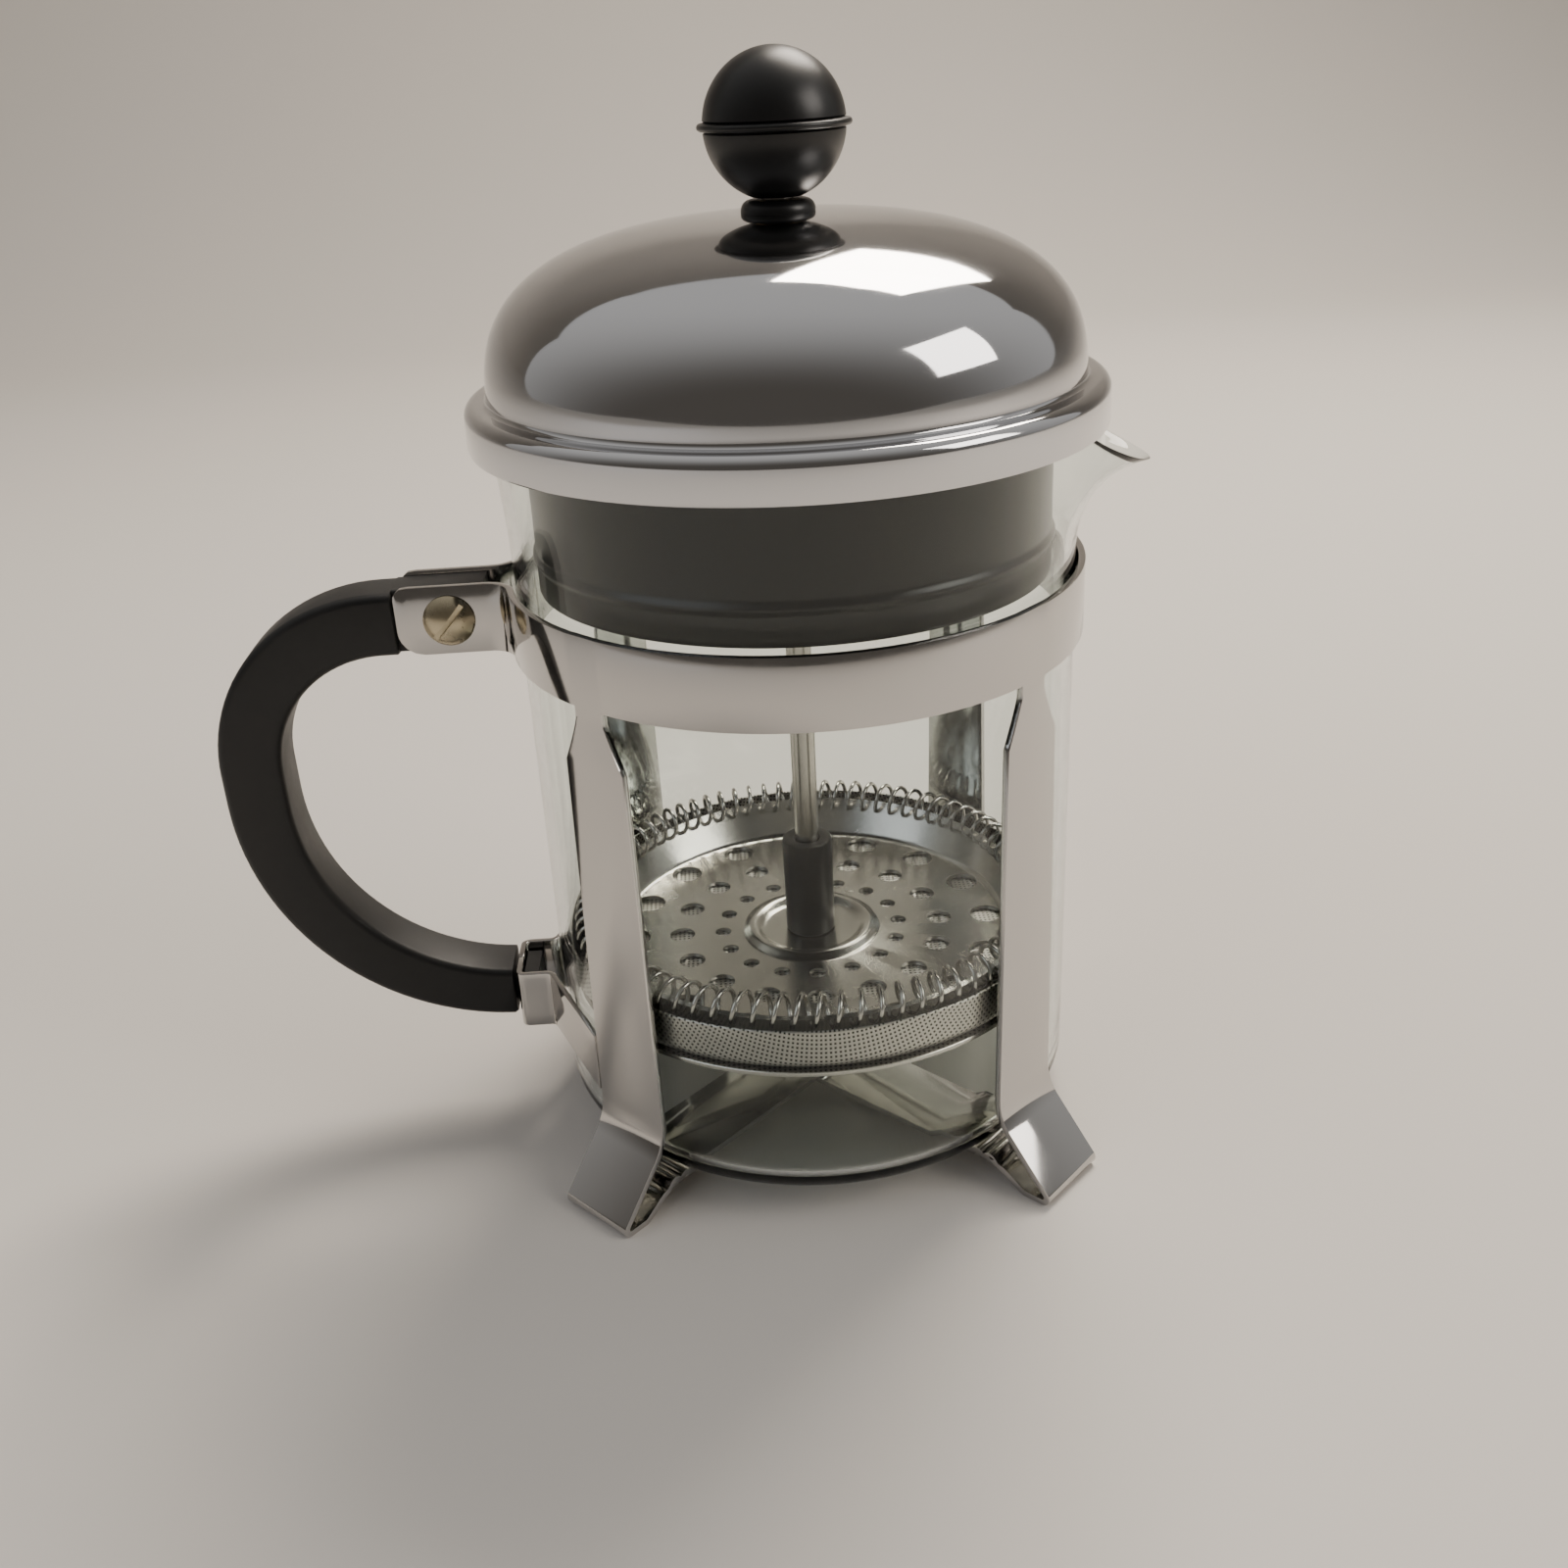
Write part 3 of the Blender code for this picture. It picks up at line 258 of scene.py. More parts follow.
class Finishes(Enum):
    """The finishes on this press, each by its trade name."""

    # Chrome plate on pressed steel: a bright mirror, a little smeared by wiping.
    CHROME = WipedMetal("chrome plate", "#cfcfd1", 0.045, 1.0, smear=0.05)
    # The frame's plating is duller than the lid's.
    FRAME_CHROME = WipedMetal("chrome plated strip", "#c2c0be", 0.06, 1.0, smear=0.07)
    # Rolled stainless sheet, tumbled after stamping: soft reflections with a fine grain.
    ROLLED = WipedMetal("rolled stainless sheet", "#c9c6bf", 0.17, 1.0, smear=0.12,
                        grain=0.01 * MM, grain_pitch=0.6 * MM)
    # Drawn stainless: lines along the rod.
    DRAWN = WipedMetal("drawn stainless rod", "#bdb9b2", 0.2, 1.0, smear=0.08,
                       grain=0.02 * MM, grain_pitch=0.4 * MM, stretch=(1.0, 1.0, 0.04))
    # Spring wire: bright, hard drawn.
    WIRE = WipedMetal("stainless spring wire", "#c4c1bb", 0.16, 1.0, smear=0.06)
    # Nickel plate, yellowed by age.
    NICKEL = WipedMetal("aged nickel plate", "#c2b79c", 0.22, 1.0, smear=0.16, patch=3 * MM)
    # Turned brass.
    BRASS = WipedMetal("turned brass", "#c9a558", 0.25, 1.0, smear=0.1)
    # Glass-filled polypropylene, spark-eroded mould: satin black, dusty.
    GRIP = MouldedPlastic("satin black handle plastic", "#131314", 0.46)
    # The same plastic in a polished mould: darker, with soft highlights.
    KNOB = MouldedPlastic("black knob plastic", "#0f0f10", 0.34, dusty=0.12, depth=0.008 * MM)
    LINER = MouldedPlastic("black liner plastic", "#080808", 0.3, dusty=0.03, depth=0.002 * MM)
    GLASS = BlownGlass("borosilicate glass", "#f7fbf9", 0.0)
    CLOTH = WovenWire("woven wire cloth", "#c6c3bc", 0.3, 1.0)

    def material(self) -> bpy.types.Material:
        """The finish as a material, made once."""
        return bpy.data.materials.get(self.value.name) or self.value.build()


# --- mesh helpers -----------------------------------------------------------------------------
def arc(cx: float, cz: float, radius: float, start: float, end: float,
        count: int) -> list[Point]:
    """Points on an arc, both ends included.

    Args:
        cx: first coordinate of its centre.
        cz: second coordinate of its centre.
        radius: its radius.
        start: angle of its first point, in radians.
        end: angle of its last point.
        count: number of segments.

    Returns:
        The points in order, one more than there are segments.
    """
    turns = [start + (end - start) * i / count for i in range(count + 1)]
    return [(cx + radius * cos(a), cz + radius * sin(a)) for a in turns]


def eased(points: Sequence[Point], radius: float, steps: int = 3) -> list[Point]:
    """Round the corners of a closed outline, except on the axis and on its negative side.

    Args:
        points: the outline's corners in order.
        radius: length cut from each side of a corner, less where the sides are short.
        steps: segments in each rounded corner.

    Returns:
        The outline with a short curve in place of each corner.
    """
    most = 0.45                       # of a side may go to one corner
    made: list[Point] = []
    count = len(points)
    for i, (x, z) in enumerate(points):
        if x < 1e-7:
            made.append((x, z))
            continue
        sides = []
        for other in (points[i - 1], points[(i + 1) % count]):
            run, rise = other[0] - x, other[1] - z
            length = hypot(run, rise)
            reach = min(radius, length * most) / length
            sides.append((x + run * reach, z + rise * reach))
        (ax, az), (bx, bz) = sides
        for k in range(steps + 1):
            t = k / steps
            made.append(((1 - t) ** 2 * ax + 2 * t * (1 - t) * x + t * t * bx,
                         (1 - t) ** 2 * az + 2 * t * (1 - t) * z + t * t * bz))
    return made


def walled(outline: Sequence[Point], wall: float) -> list[Point]:
    """Close an outer outline with an inner one a wall away.

    Args:
        outline: the outer outline, from the middle out and down.
        wall: the wall's thickness.

    Returns:
        Both outlines, as one closed profile.
    """
    inner = []
    for i, (r, z) in enumerate(outline):
        before, after = outline[max(i - 1, 0)], outline[min(i + 1, len(outline) - 1)]
        run, fall = after[0] - before[0], after[1] - before[1]
        length = hypot(run, fall)
        inner.append((r + fall / length * wall, z - run / length * wall))
    return list(outline) + inner[::-1]


def linked(name: str, data: bpy.types.ID) -> bpy.types.Object:
    """Make an object that holds some data and link it to the scene."""
    obj = bpy.data.objects.new(name, data)
    bpy.context.scene.collection.objects.link(obj)
    return obj


def mesh_of(name: str, bm: bmesh.types.BMesh) -> bpy.types.Mesh:
    """Turn a bmesh into a mesh and free it."""
    mesh = bpy.data.meshes.new(name)
    bm.to_mesh(mesh)
    bm.free()
    return mesh


def evaluated(obj: bpy.types.Object) -> bpy.types.Mesh:
    """The mesh that an object comes to with its modifiers or its curve's bevel."""
    bpy.context.view_layer.update()
    graph = bpy.context.evaluated_depsgraph_get()
    return bpy.data.meshes.new_from_object(obj.evaluated_get(graph))


def shade(mesh: bpy.types.Mesh, crease: float) -> None:
    """Shade a mesh smooth, except at edges sharper than the crease in degrees."""
    mesh.shade_smooth()
    mesh.set_sharp_from_angle(angle=radians(crease))


def finish_mesh(name: str, bm: bmesh.types.BMesh, finish: Finishes,
                crease: float = 32.0) -> bpy.types.Object:
    """Turn a bmesh into a linked object with its finish and its shading.

    Args:
        name: the new piece's name.
        bm: the bmesh, freed on the way.
        finish: what it is made of.
        crease: edges sharper than this, in degrees, stay sharp.

    Returns:
        The new piece.
    """
    mesh = mesh_of(name, bm)
    shade(mesh, crease)
    mesh.materials.append(finish.material())
    return linked(name, mesh)


def spun(profile: Sequence[Point], axis_x: float, steps: int = 128,
         closed: bool = True) -> bmesh.types.BMesh:
    """Spin a profile about a vertical axis into a body of revolution.

    Args:
        profile: points of (radius, height) in order.
        axis_x: where the axis stands.
        steps: segments in the full turn.
        closed: whether the last point joins the first.

    Returns:
        The body, with its normals outwards.
    """
    bm = bmesh.new()
    verts = [bm.verts.new((axis_x + r, 0, z)) for r, z in profile]
    pairs = list(zip(verts, verts[1:])) + ([(verts[-1], verts[0])] if closed else [])
    # An edge along the axis itself sweeps no surface.
    edges = [bm.edges.new(pair) for pair in pairs
             if max(vert.co.x for vert in pair) > axis_x + 1e-9]
    bmesh.ops.spin(bm, geom=verts + edges, cent=(axis_x, 0, 0), axis=(0, 0, 1), angle=tau,
                   steps=steps, use_merge=True)
    bmesh.ops.remove_doubles(bm, verts=bm.verts, dist=1e-7)
    bmesh.ops.recalc_face_normals(bm, faces=bm.faces)
    return bm


def extruded_rows(bm: bmesh.types.BMesh, first: list[bmesh.types.BMVert],
                  rows: Iterable[Sequence[Vector]]) -> None:
    """Grow a sheet from a row of vertices by extruding its edges to each further row.

    Args:
        bm: the mesh that holds the first row.
        first: vertices of the first row.
        rows: places of the vertices of each further row.
    """
    current = first
    for row in rows:
        edges = [bm.edges.get(pair) or bm.edges.new(pair)
                 for pair in zip(current, current[1:])]
        grown = bmesh.ops.extrude_edge_only(bm, edges=edges)["geom"]
        fresh = [item for item in grown if isinstance(item, bmesh.types.BMVert)]
        # A new vertex still lies where the one that it grew from does.
        ordered = []
        for old in current:
            ordered.append(min(fresh, key=lambda vert: (vert.co - old.co).length))
        for vert, place in zip(ordered, row):
            vert.co = place
        current = ordered


def sheet_metal(obj: bpy.types.Object, thickness: float, edge: float) -> None:
    """Give an open surface its thickness and its tumbled edges.

    Args:
        obj: the surface, at the middle of the sheet.
        thickness: of the sheet.
        edge: width of the softened edges.
    """
    wall = obj.modifiers.new("sheet", "SOLIDIFY")
    wall.thickness = thickness
    wall.offset = 0
    wall.use_even_offset = True
    soften = obj.modifiers.new("edges", "BEVEL")
    soften.width = edge
    soften.segments = 2
    soften.limit_method = "ANGLE"
    soften.angle_limit = radians(60)


def cut_away(obj: bpy.types.Object, cutter: bmesh.types.BMesh) -> None:
    """Cut a shape out of a piece and keep the result as its mesh.

    Args:
        obj: the piece.
        cutter: closed bodies to take away, freed on the way.
    """
    tool = linked("tool", mesh_of("tool", cutter))
    boolean = obj.modifiers.new("cut", "BOOLEAN")
    boolean.operation = "DIFFERENCE"
    boolean.solver = "EXACT"
    boolean.object = tool
    result = evaluated(obj)
    obj.modifiers.remove(boolean)
    obj.data = result
    bpy.data.objects.remove(tool, do_unlink=True)


def cylinder(bm: bmesh.types.BMesh, radius: float, depth: float, place: Matrix,
             segments: int = 32) -> None:
    """Add a capped cylinder.

    Args:
        bm: the mesh that it joins.
        radius: out to its corners.
        depth: its length.
        place: where its middle goes and how its Z axis turns.
        segments: number of its sides.
    """
    bmesh.ops.create_cone(bm, cap_ends=True, segments=segments, radius1=radius, radius2=radius,
                          depth=depth, matrix=place)


def mount(piece: bpy.types.Object, body: str, slot: str, *nodes: str) -> None:
    """Let a piece ride on a body and stand for its CAD nodes.

    Args:
        piece: the finished piece.
        body: the body that it moves with.
        slot: its material slot; not used.
        nodes: the CAD nodes that it replaces.
    """
    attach(piece, body)
    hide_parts(*nodes)
    LOG.info("%s rides on %s and stands for %s", piece.name, body, ", ".join(nodes))


def hexagon_nut(node: str, name: str, slot: str, finish: Finishes, bore: float,
                body: str, along: str) -> None:
    """Make a chamfered hexagon nut in the box of its CAD node.

    Args:
        node: the CAD node.
        name: the new piece's name.
        slot: its material slot.
        finish: its finish.
        bore: radius of its hole.
        body: the body that it rides on.
        along: the axis that its hole follows, "Y" or "Z".
    """
    low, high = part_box(node)
    size = high - low
    across = size.x
    chamfer = 0.07 * across
    height = size.y if along == "Y" else size.z
    bm = bmesh.new()
    cylinder(bm, across / sqrt(3), height, Matrix.Identity(4), 6)
    rims = [edge for edge in bm.edges if abs(edge.verts[0].co.z - edge.verts[1].co.z) < 1e-9]
    bmesh.ops.bevel(bm, geom=rims, offset=chamfer, segments=2, profile=0.5,
                    affect="EDGES", material=-1)
    nut = finish_mesh(name, bm, finish)
    tool = bmesh.new()
    cylinder(tool, bore, 3 * height, Matrix.Identity(4))
    cut_away(nut, tool)
    turn = Matrix.Rotation(-pi / 2, 4, "X") if along == "Y" else Matrix.Identity(4)
    nut.data.transform(Matrix.Translation((low + high) / 2) @ turn)
    mount(nut, body, slot, node)


def dress_node(frame: dict, node: str, finish: Finishes) -> None:
    """Give a CAD node that keeps its shape its finish.

    Args:
        node: the CAD node.
        finish: what it is made of.
    """
    obj = frame["nodes"][node]
    obj.data.materials.clear()
    obj.data.materials.append(finish.material())
    LOG.info("%s keeps its shape and gets %s", node, finish.value.name)


# --- beaker -----------------------------------------------------------------------------------
@dataclass
class Beaker:
    """The blown glass beaker: straight wall, rounded foot, fire-polished rim, pulled spout."""

    axis_x: float
    bottom: float
    rim: float
    radius: float = 42.5 * MM
    wall: float = 1.6 * MM
    floor: float = 2.2 * MM
    corner: float = 5.0 * MM
    hollow: float = 0.5 * MM          # under the foot, so that it stands on a ring
    crown: float = 0.3 * MM           # of the floor inside
    across: tuple[float, ...] = (0.0, 0.4, 0.7, 0.9)            # shares of the floor's radius
    up: tuple[float, ...] = (20 * MM, 40 * MM, 70 * MM)         # heights on the straight wall
    flare: float = 1.3 * MM
    flare_start: float = 98.0 * MM
    spout_reach: float = 10.7 * MM
    spout_drop: float = 11.3 * MM
    spout_half_angle: float = radians(35)

    def rise(self, z: float) -> float:
        """Share of the flared stretch that lies below a height."""
        return max(0.0, (z - self.flare_start) / (self.rim - self.flare_start))

    def wall_radius(self, z: float) -> float:
        """Outer radius at a height, before the spout is pulled."""
        return self.radius + self.flare * self.rise(z) ** 1.5

    def profile(self) -> list[Point]:
        """Outline from the rim down the outside, across the floor and up the inside."""
        lip = self.wall / 2
        top = self.rim - lip
        heights = [self.flare_start + (top - self.flare_start) * i / 20 for i in range(21)]
        rim = arc(self.wall_radius(self.rim) - lip, top, lip, pi, 0, 8)
        outside = [(self.wall_radius(z), z) for z in reversed(heights)]
        outside += [(self.radius, z) for z in reversed(self.up)]
        ring = self.radius - self.corner
        outside += arc(ring, self.bottom + self.corner, self.corner, 0, -pi / 2, 12)
        outside += [(ring * share, self.bottom + self.hollow * (1 - share ** 2))
                    for share in reversed(self.across)]
        floor_z = self.bottom + self.floor
        inner = self.corner - self.wall
        inside_r = self.radius - self.wall
        inside = [(ring * share, floor_z + self.crown * (1 - share ** 2))
                  for share in self.across]
        inside += arc(inside_r - inner, floor_z + inner, inner, -pi / 2, 0, 10)
        inside += [(inside_r, z) for z in self.up]
        inside += [(self.wall_radius(z) - self.wall, z) for z in heights[:-1]]
        return rim + outside[1:] + inside

    def pull_spout(self, bm: bmesh.types.BMesh) -> None:
        """Move the wall out and down round the +X side, most at the rim."""
        for vert in bm.verts:
            x, y = vert.co.x - self.axis_x, vert.co.y
            share_up = self.rise(vert.co.z)
            turn = min(1.0, abs(atan2(y, x)) / self.spout_half_angle)
            if not share_up or turn == 1.0:
                continue
            # The powers make the lip pointed seen from above and keep the pull near the rim.
            share = cos(turn * pi / 2) ** 2
            out = self.spout_reach * share ** 1.6 * share_up ** 1.3
            down = self.spout_drop * share ** 0.8 * share_up ** 1.6
            grow = (hypot(x, y) + out) / hypot(x, y)
            vert.co = (self.axis_x + x * grow, y * grow, vert.co.z - down)

    def build(self) -> None:
        """Make the beaker."""
        bm = spun(self.profile(), self.axis_x, 180)
        self.pull_spout(bm)
        glass = finish_mesh("glass_beaker", bm, Finishes.GLASS, 60)
        mount(glass, "beaker", "beaker_glass", "beaker")


# --- frame ------------------------------------------------------------------------------------
@dataclass
class Frame:
    """The pressed frame: a band with clamp tabs, four legs crossing under the glass, brackets."""

    axis_x: float
    band_bottom: float
    band_top: float
    beaker_radius: float
    clear: float = 0.4 * MM           # between the glass and the band
    sheet: float = 1.0 * MM
    facet: float = radians(4.3)       # half the flat behind each leg
    bend: float = 4.5 * MM            # from the band into its clamp tabs
    tab_gap: float = 7.6 * MM
    tab_length: float = 13.6 * MM
    tab_corner_top: float = 1.8 * MM
    tab_corner_low: float = 3.8 * MM
    leg_angles: tuple[float, ...] = (radians(45), radians(135), radians(-135), radians(-45))
    neck: float = 5.4 * MM            # a leg's width where it leaves the band
    neck_length: float = 1.8 * MM
    neck_hold: float = 1.15           # how long a leg stays narrow below its neck
    shoulder: float = 7.0 * MM
    shoulder_width: float = 11.6 * MM
    foot_width: float = 13.4 * MM
    strip_width: float = 13.0 * MM
    reach: float = 53.2 * MM          # from the press's axis to the tips of the feet
    splay: float = radians(41)        # how far a foot leans out
    foot_bend: float = 9.0 * MM       # from the leg into the foot
    fold: float = 0.9 * MM            # round the foot's tip
    foot_flat: float = 3.3 * MM       # what it stands on
    return_slope: float = radians(28)
    strip_rise: float = 3.7 * MM      # middle of the straps under the glass
    strip_step: float = 1.3 * MM      # how much lower the second pair of legs crosses
    step_radii: tuple[float, float] = (32 * MM, 30 * MM)
    ridges: tuple[float, float] = (39.4 * MM, 41.7 * MM)
    ridge_half: float = 0.9 * MM
    ridge_rise: float = 0.6 * MM
    lug_sheet: float = 0.9 * MM
    lug_edge: float = 0.12 * MM
    lug_bend: float = 1.05 * MM
    lug_side: float = 5.8 * MM        # half the pocket's outer width
    lug_split: float = 0.08 * MM      # half the gap between the two brackets
    lug_back: float = -45.3 * MM      # where the pocket's sides turn into the wings
    lug_crook: float = 1.6 * MM
    window: tuple[float, float] = (2.2 * MM, 2.5 * MM)          # half its width and height
    edge: float = 0.14 * MM

    @property
    def mid_radius(self) -> float:
        """Radius of the band's midline."""
        return self.beaker_radius + self.clear + self.sheet / 2

    @property
    def bend_centre(self) -> tuple[float, float]:
        """Centre of the bend into the -Y clamp tab, from the press axis."""
        y = -((self.tab_gap + self.sheet) / 2 + self.bend)
        return -sqrt((self.mid_radius + self.bend) ** 2 - y ** 2), y

    def band_line(self) -> list[tuple[float, float, float, float]]:
        """(x, y, low, high) along the band's -Y half, from the tab's end to the +X side."""
        bend_x, bend_y = self.bend_centre
        tab_y = bend_y + self.bend
        end_x = bend_x - self.tab_length
        low, high = self.band_bottom, self.band_top
        line = []
        for share in (0.0, 0.03, 0.12, 0.3, 0.6, 1.0):
            run = self.tab_corner_low * share
            near = max(0.0, self.tab_corner_top - run)
            top = high - (self.tab_corner_top - sqrt(self.tab_corner_top ** 2 - near ** 2))
            near = self.tab_corner_low - run
            base = low + (self.tab_corner_low - sqrt(self.tab_corner_low ** 2 - near ** 2))
            line.append((end_x + run, tab_y, base, top))
        toward = atan2(-bend_y, -bend_x)
        line += [(x, y, low, high) for x, y in arc(bend_x, bend_y, self.bend, pi / 2, toward, 12)]
        # The band is round but for a flat behind each leg, with the leg's neck in its middle.
        stops = [-pi + toward]
        half = self.neck / 2 / self.mid_radius
        for angle in sorted(a for a in self.leg_angles if a < 0):
            stops += [angle - self.facet, angle - half, angle + half, angle + self.facet]
        stops.append(0.0)
        for i, (start, end) in enumerate(zip(stops, stops[1:])):
            count = 1 if i % 4 else max(1, round((end - start) / radians(3)))
            for a in [start + (end - start) * k / count for k in range(1, count + 1)]:
                radius = self.mid_radius
                if i % 4 in (1, 2):
                    from_leg = min((a - leg for leg in self.leg_angles), key=abs)
                    radius *= cos(self.facet) / cos(from_leg)
                line.append((radius * cos(a), radius * sin(a), low, high))
        return line

    def leg_path(self, strip_z: float) -> list[tuple[float, float, float]]:
        """Trace a leg from the band's edge down and in to the middle.

        Args:
            strip_z: height at which it crosses the middle.

        Returns:
            (radius, height, width) at each step.
        """
        flat_r = self.mid_radius * cos(self.facet)
        top = self.band_bottom
        fold_r = self.reach - self.fold - self.sheet / 2
        fold_z = self.fold + self.sheet / 2
        fold = arc(fold_r, fold_z, self.fold, self.splay, -pi / 2, 8)
        tip_r, tip_z = fold[0]
        corner_z = tip_z + (tip_r - flat_r) / sin(self.splay) * cos(self.splay)
        bend_z = corner_z + self.foot_bend * sin(self.splay / 2) / cos(self.splay / 2)
        curve = arc(flat_r + self.foot_bend, bend_z, self.foot_bend, pi, pi + self.splay, 10)
        path = [(flat_r, top - self.neck_length, self.neck)]
        for k in range(1, 7):
            share = k / 6
            width = self.neck + (self.shoulder_width - self.neck) * share ** self.neck_hold
            path.append((flat_r, top - self.neck_length - self.shoulder * share, width))
        path += [(r, z, self.foot_width) for r, z in curve + fold]
        flat_end = fold_r - self.foot_flat
        rise = self.strip_rise - self.sheet / 2
        slope_end = flat_end - rise * cos(self.return_slope) / sin(self.return_slope)
        path += [(flat_end, self.sheet / 2, self.foot_width),
                 (slope_end, self.strip_rise, self.strip_width)]
        for ridge in reversed(self.ridges):
            path += [(ridge + self.ridge_half * cos(k * pi / 6),
                      self.strip_rise + self.ridge_rise * sin(k * pi / 6) ** 2,
                      self.strip_width) for k in range(7)]
        if strip_z < self.strip_rise:
            path += [(self.step_radii[0], self.strip_rise, self.strip_width),
                     (self.step_radii[1], strip_z, self.strip_width)]
        path.append((0.0, strip_z, self.strip_width))
        return path

    def stamping(self) -> None:
        """Make the band, its tabs and the four legs as the one stamping they are."""
        half = self.band_line()
        columns = half[:-1] + [(x, -y, low, high) for x, y, low, high in reversed(half)]
        rows = [[Vector((self.axis_x + x, y, z)) for z in (low, high)]
                for x, y, low, high in columns]
        bm = bmesh.new()
        extruded_rows(bm, [bm.verts.new(place) for place in rows[0]], rows[1:])
        edge = [vert for vert in bm.verts if abs(vert.co.z - self.band_bottom) < 1e-6]
        for i, angle in enumerate(self.leg_angles):
            along = Vector((cos(angle), sin(angle), 0))
            across = Vector((-sin(angle), cos(angle), 0))
            foot = Vector((self.axis_x, 0, 0))
            root = foot + along * self.mid_radius + Vector((0, 0, self.band_bottom))
            neck = [min(edge, key=lambda vert: (vert.co - corner).length) for corner in
                    (root - across * self.neck / 2, root + across * self.neck / 2)]
            rows = []
            for r, z, width in self.leg_path(self.strip_rise - self.strip_step * (i % 2)):
                middle = foot + along * r + Vector((0, 0, z))
                rows.append((middle - across * width / 2, middle + across * width / 2))
            extruded_rows(bm, neck, rows)
        bmesh.ops.remove_doubles(bm, verts=bm.verts, dist=1e-6)
        bmesh.ops.recalc_face_normals(bm, faces=bm.faces)
        metal = finish_mesh("frame_stamping", bm, Finishes.FRAME_CHROME, 28)
        sheet_metal(metal, self.sheet, self.edge)
        mount(metal, "frame", "frame_chrome", "frame_band", "leg_strap_upper", "leg_strap_lower")

    def bracket(self, node: str, side: int) -> None:
        """Make half of the pocket for the handle's head, with its wing.

        Args:
            node: the CAD node that it stands for.
            side: -1 in front and 1 behind.
        """
        low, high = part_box(node)
        out_x = low.x - self.axis_x + self.lug_sheet / 2
        side_y = self.lug_side - self.lug_sheet / 2
        bend, crook = self.lug_bend, self.lug_crook
        half_wide, half_high = self.window
        line = [(out_x, self.lug_split), (out_x, half_wide), (out_x, side_y - bend)]
        line += arc(out_x + bend, side_y - bend, bend, pi, pi / 2, 6)[1:]
        # The wing's end stands in a little, for the thickness that its sheet gets later.
        end_x = high.x - self.axis_x
        end_y = max(abs(low.y), abs(high.y))
        turn = atan2(end_y - side_y, end_x - self.lug_back)
        line += arc(self.lug_back, side_y + crook, crook, -pi / 2, -pi / 2 + turn, 6)
        line.append((end_x - 0.3 * MM, end_y - 0.2 * MM))
        middle = (low.z + high.z) / 2
        levels = (low.z, middle - half_high, middle + half_high, high.z)
        rows = [[Vector((self.axis_x + x, side * y, z)) for z in levels] for x, y in line]
        bm = bmesh.new()
        extruded_rows(bm, [bm.verts.new(place) for place in rows[0]], rows[1:])
        opening = [face for face in bm.faces if abs(face.calc_center_median().z - middle) < MM
                   and abs(face.calc_center_median().y) < half_wide]
        bmesh.ops.delete(bm, geom=opening, context="FACES")
        bmesh.ops.recalc_face_normals(bm, faces=bm.faces)
        metal = finish_mesh(f"{node}_lug", bm, Finishes.FRAME_CHROME, 28)
        sheet_metal(metal, self.lug_sheet, self.lug_edge)
        mount(metal, "frame", "frame_chrome", node)

    def rivet(self) -> None:
        """Make the rivet that holds the two straps together under the glass."""
        low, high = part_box("base_rivet")
        head, shank, play = (high.x - low.x) / 2, 2.0 * MM, 0.05 * MM
        upper = self.strip_rise + self.sheet / 2 + play
        strap = self.strip_rise - self.strip_step - self.sheet / 2
        lower = strap - play
        profile = [(0, high.z), (head * 0.7, high.z - 0.1 * MM), (head, upper),
                   (shank, upper), (shank, lower), (head, lower)]
        profile += [(head * cos(k * pi / 12), strap - (strap - low.z) * sin(k * pi / 12))
                    for k in range(1, 6)] + [(0, low.z)]
        bm = spun(profile, self.axis_x, 48, closed=False)
        metal = finish_mesh("base_rivet_head", bm, Finishes.ROLLED)
        mount(metal, "frame", "rivet_steel", "base_rivet")

    def build(self) -> None:
        """Make every piece of the frame."""
        self.stamping()
        self.bracket("bracket_front", -1)
        self.bracket("bracket_rear", 1)
        self.rivet()


# --- handle and its clamp ---------------------------------------------------------------------
Station = tuple[float, float, float, float, float, float]


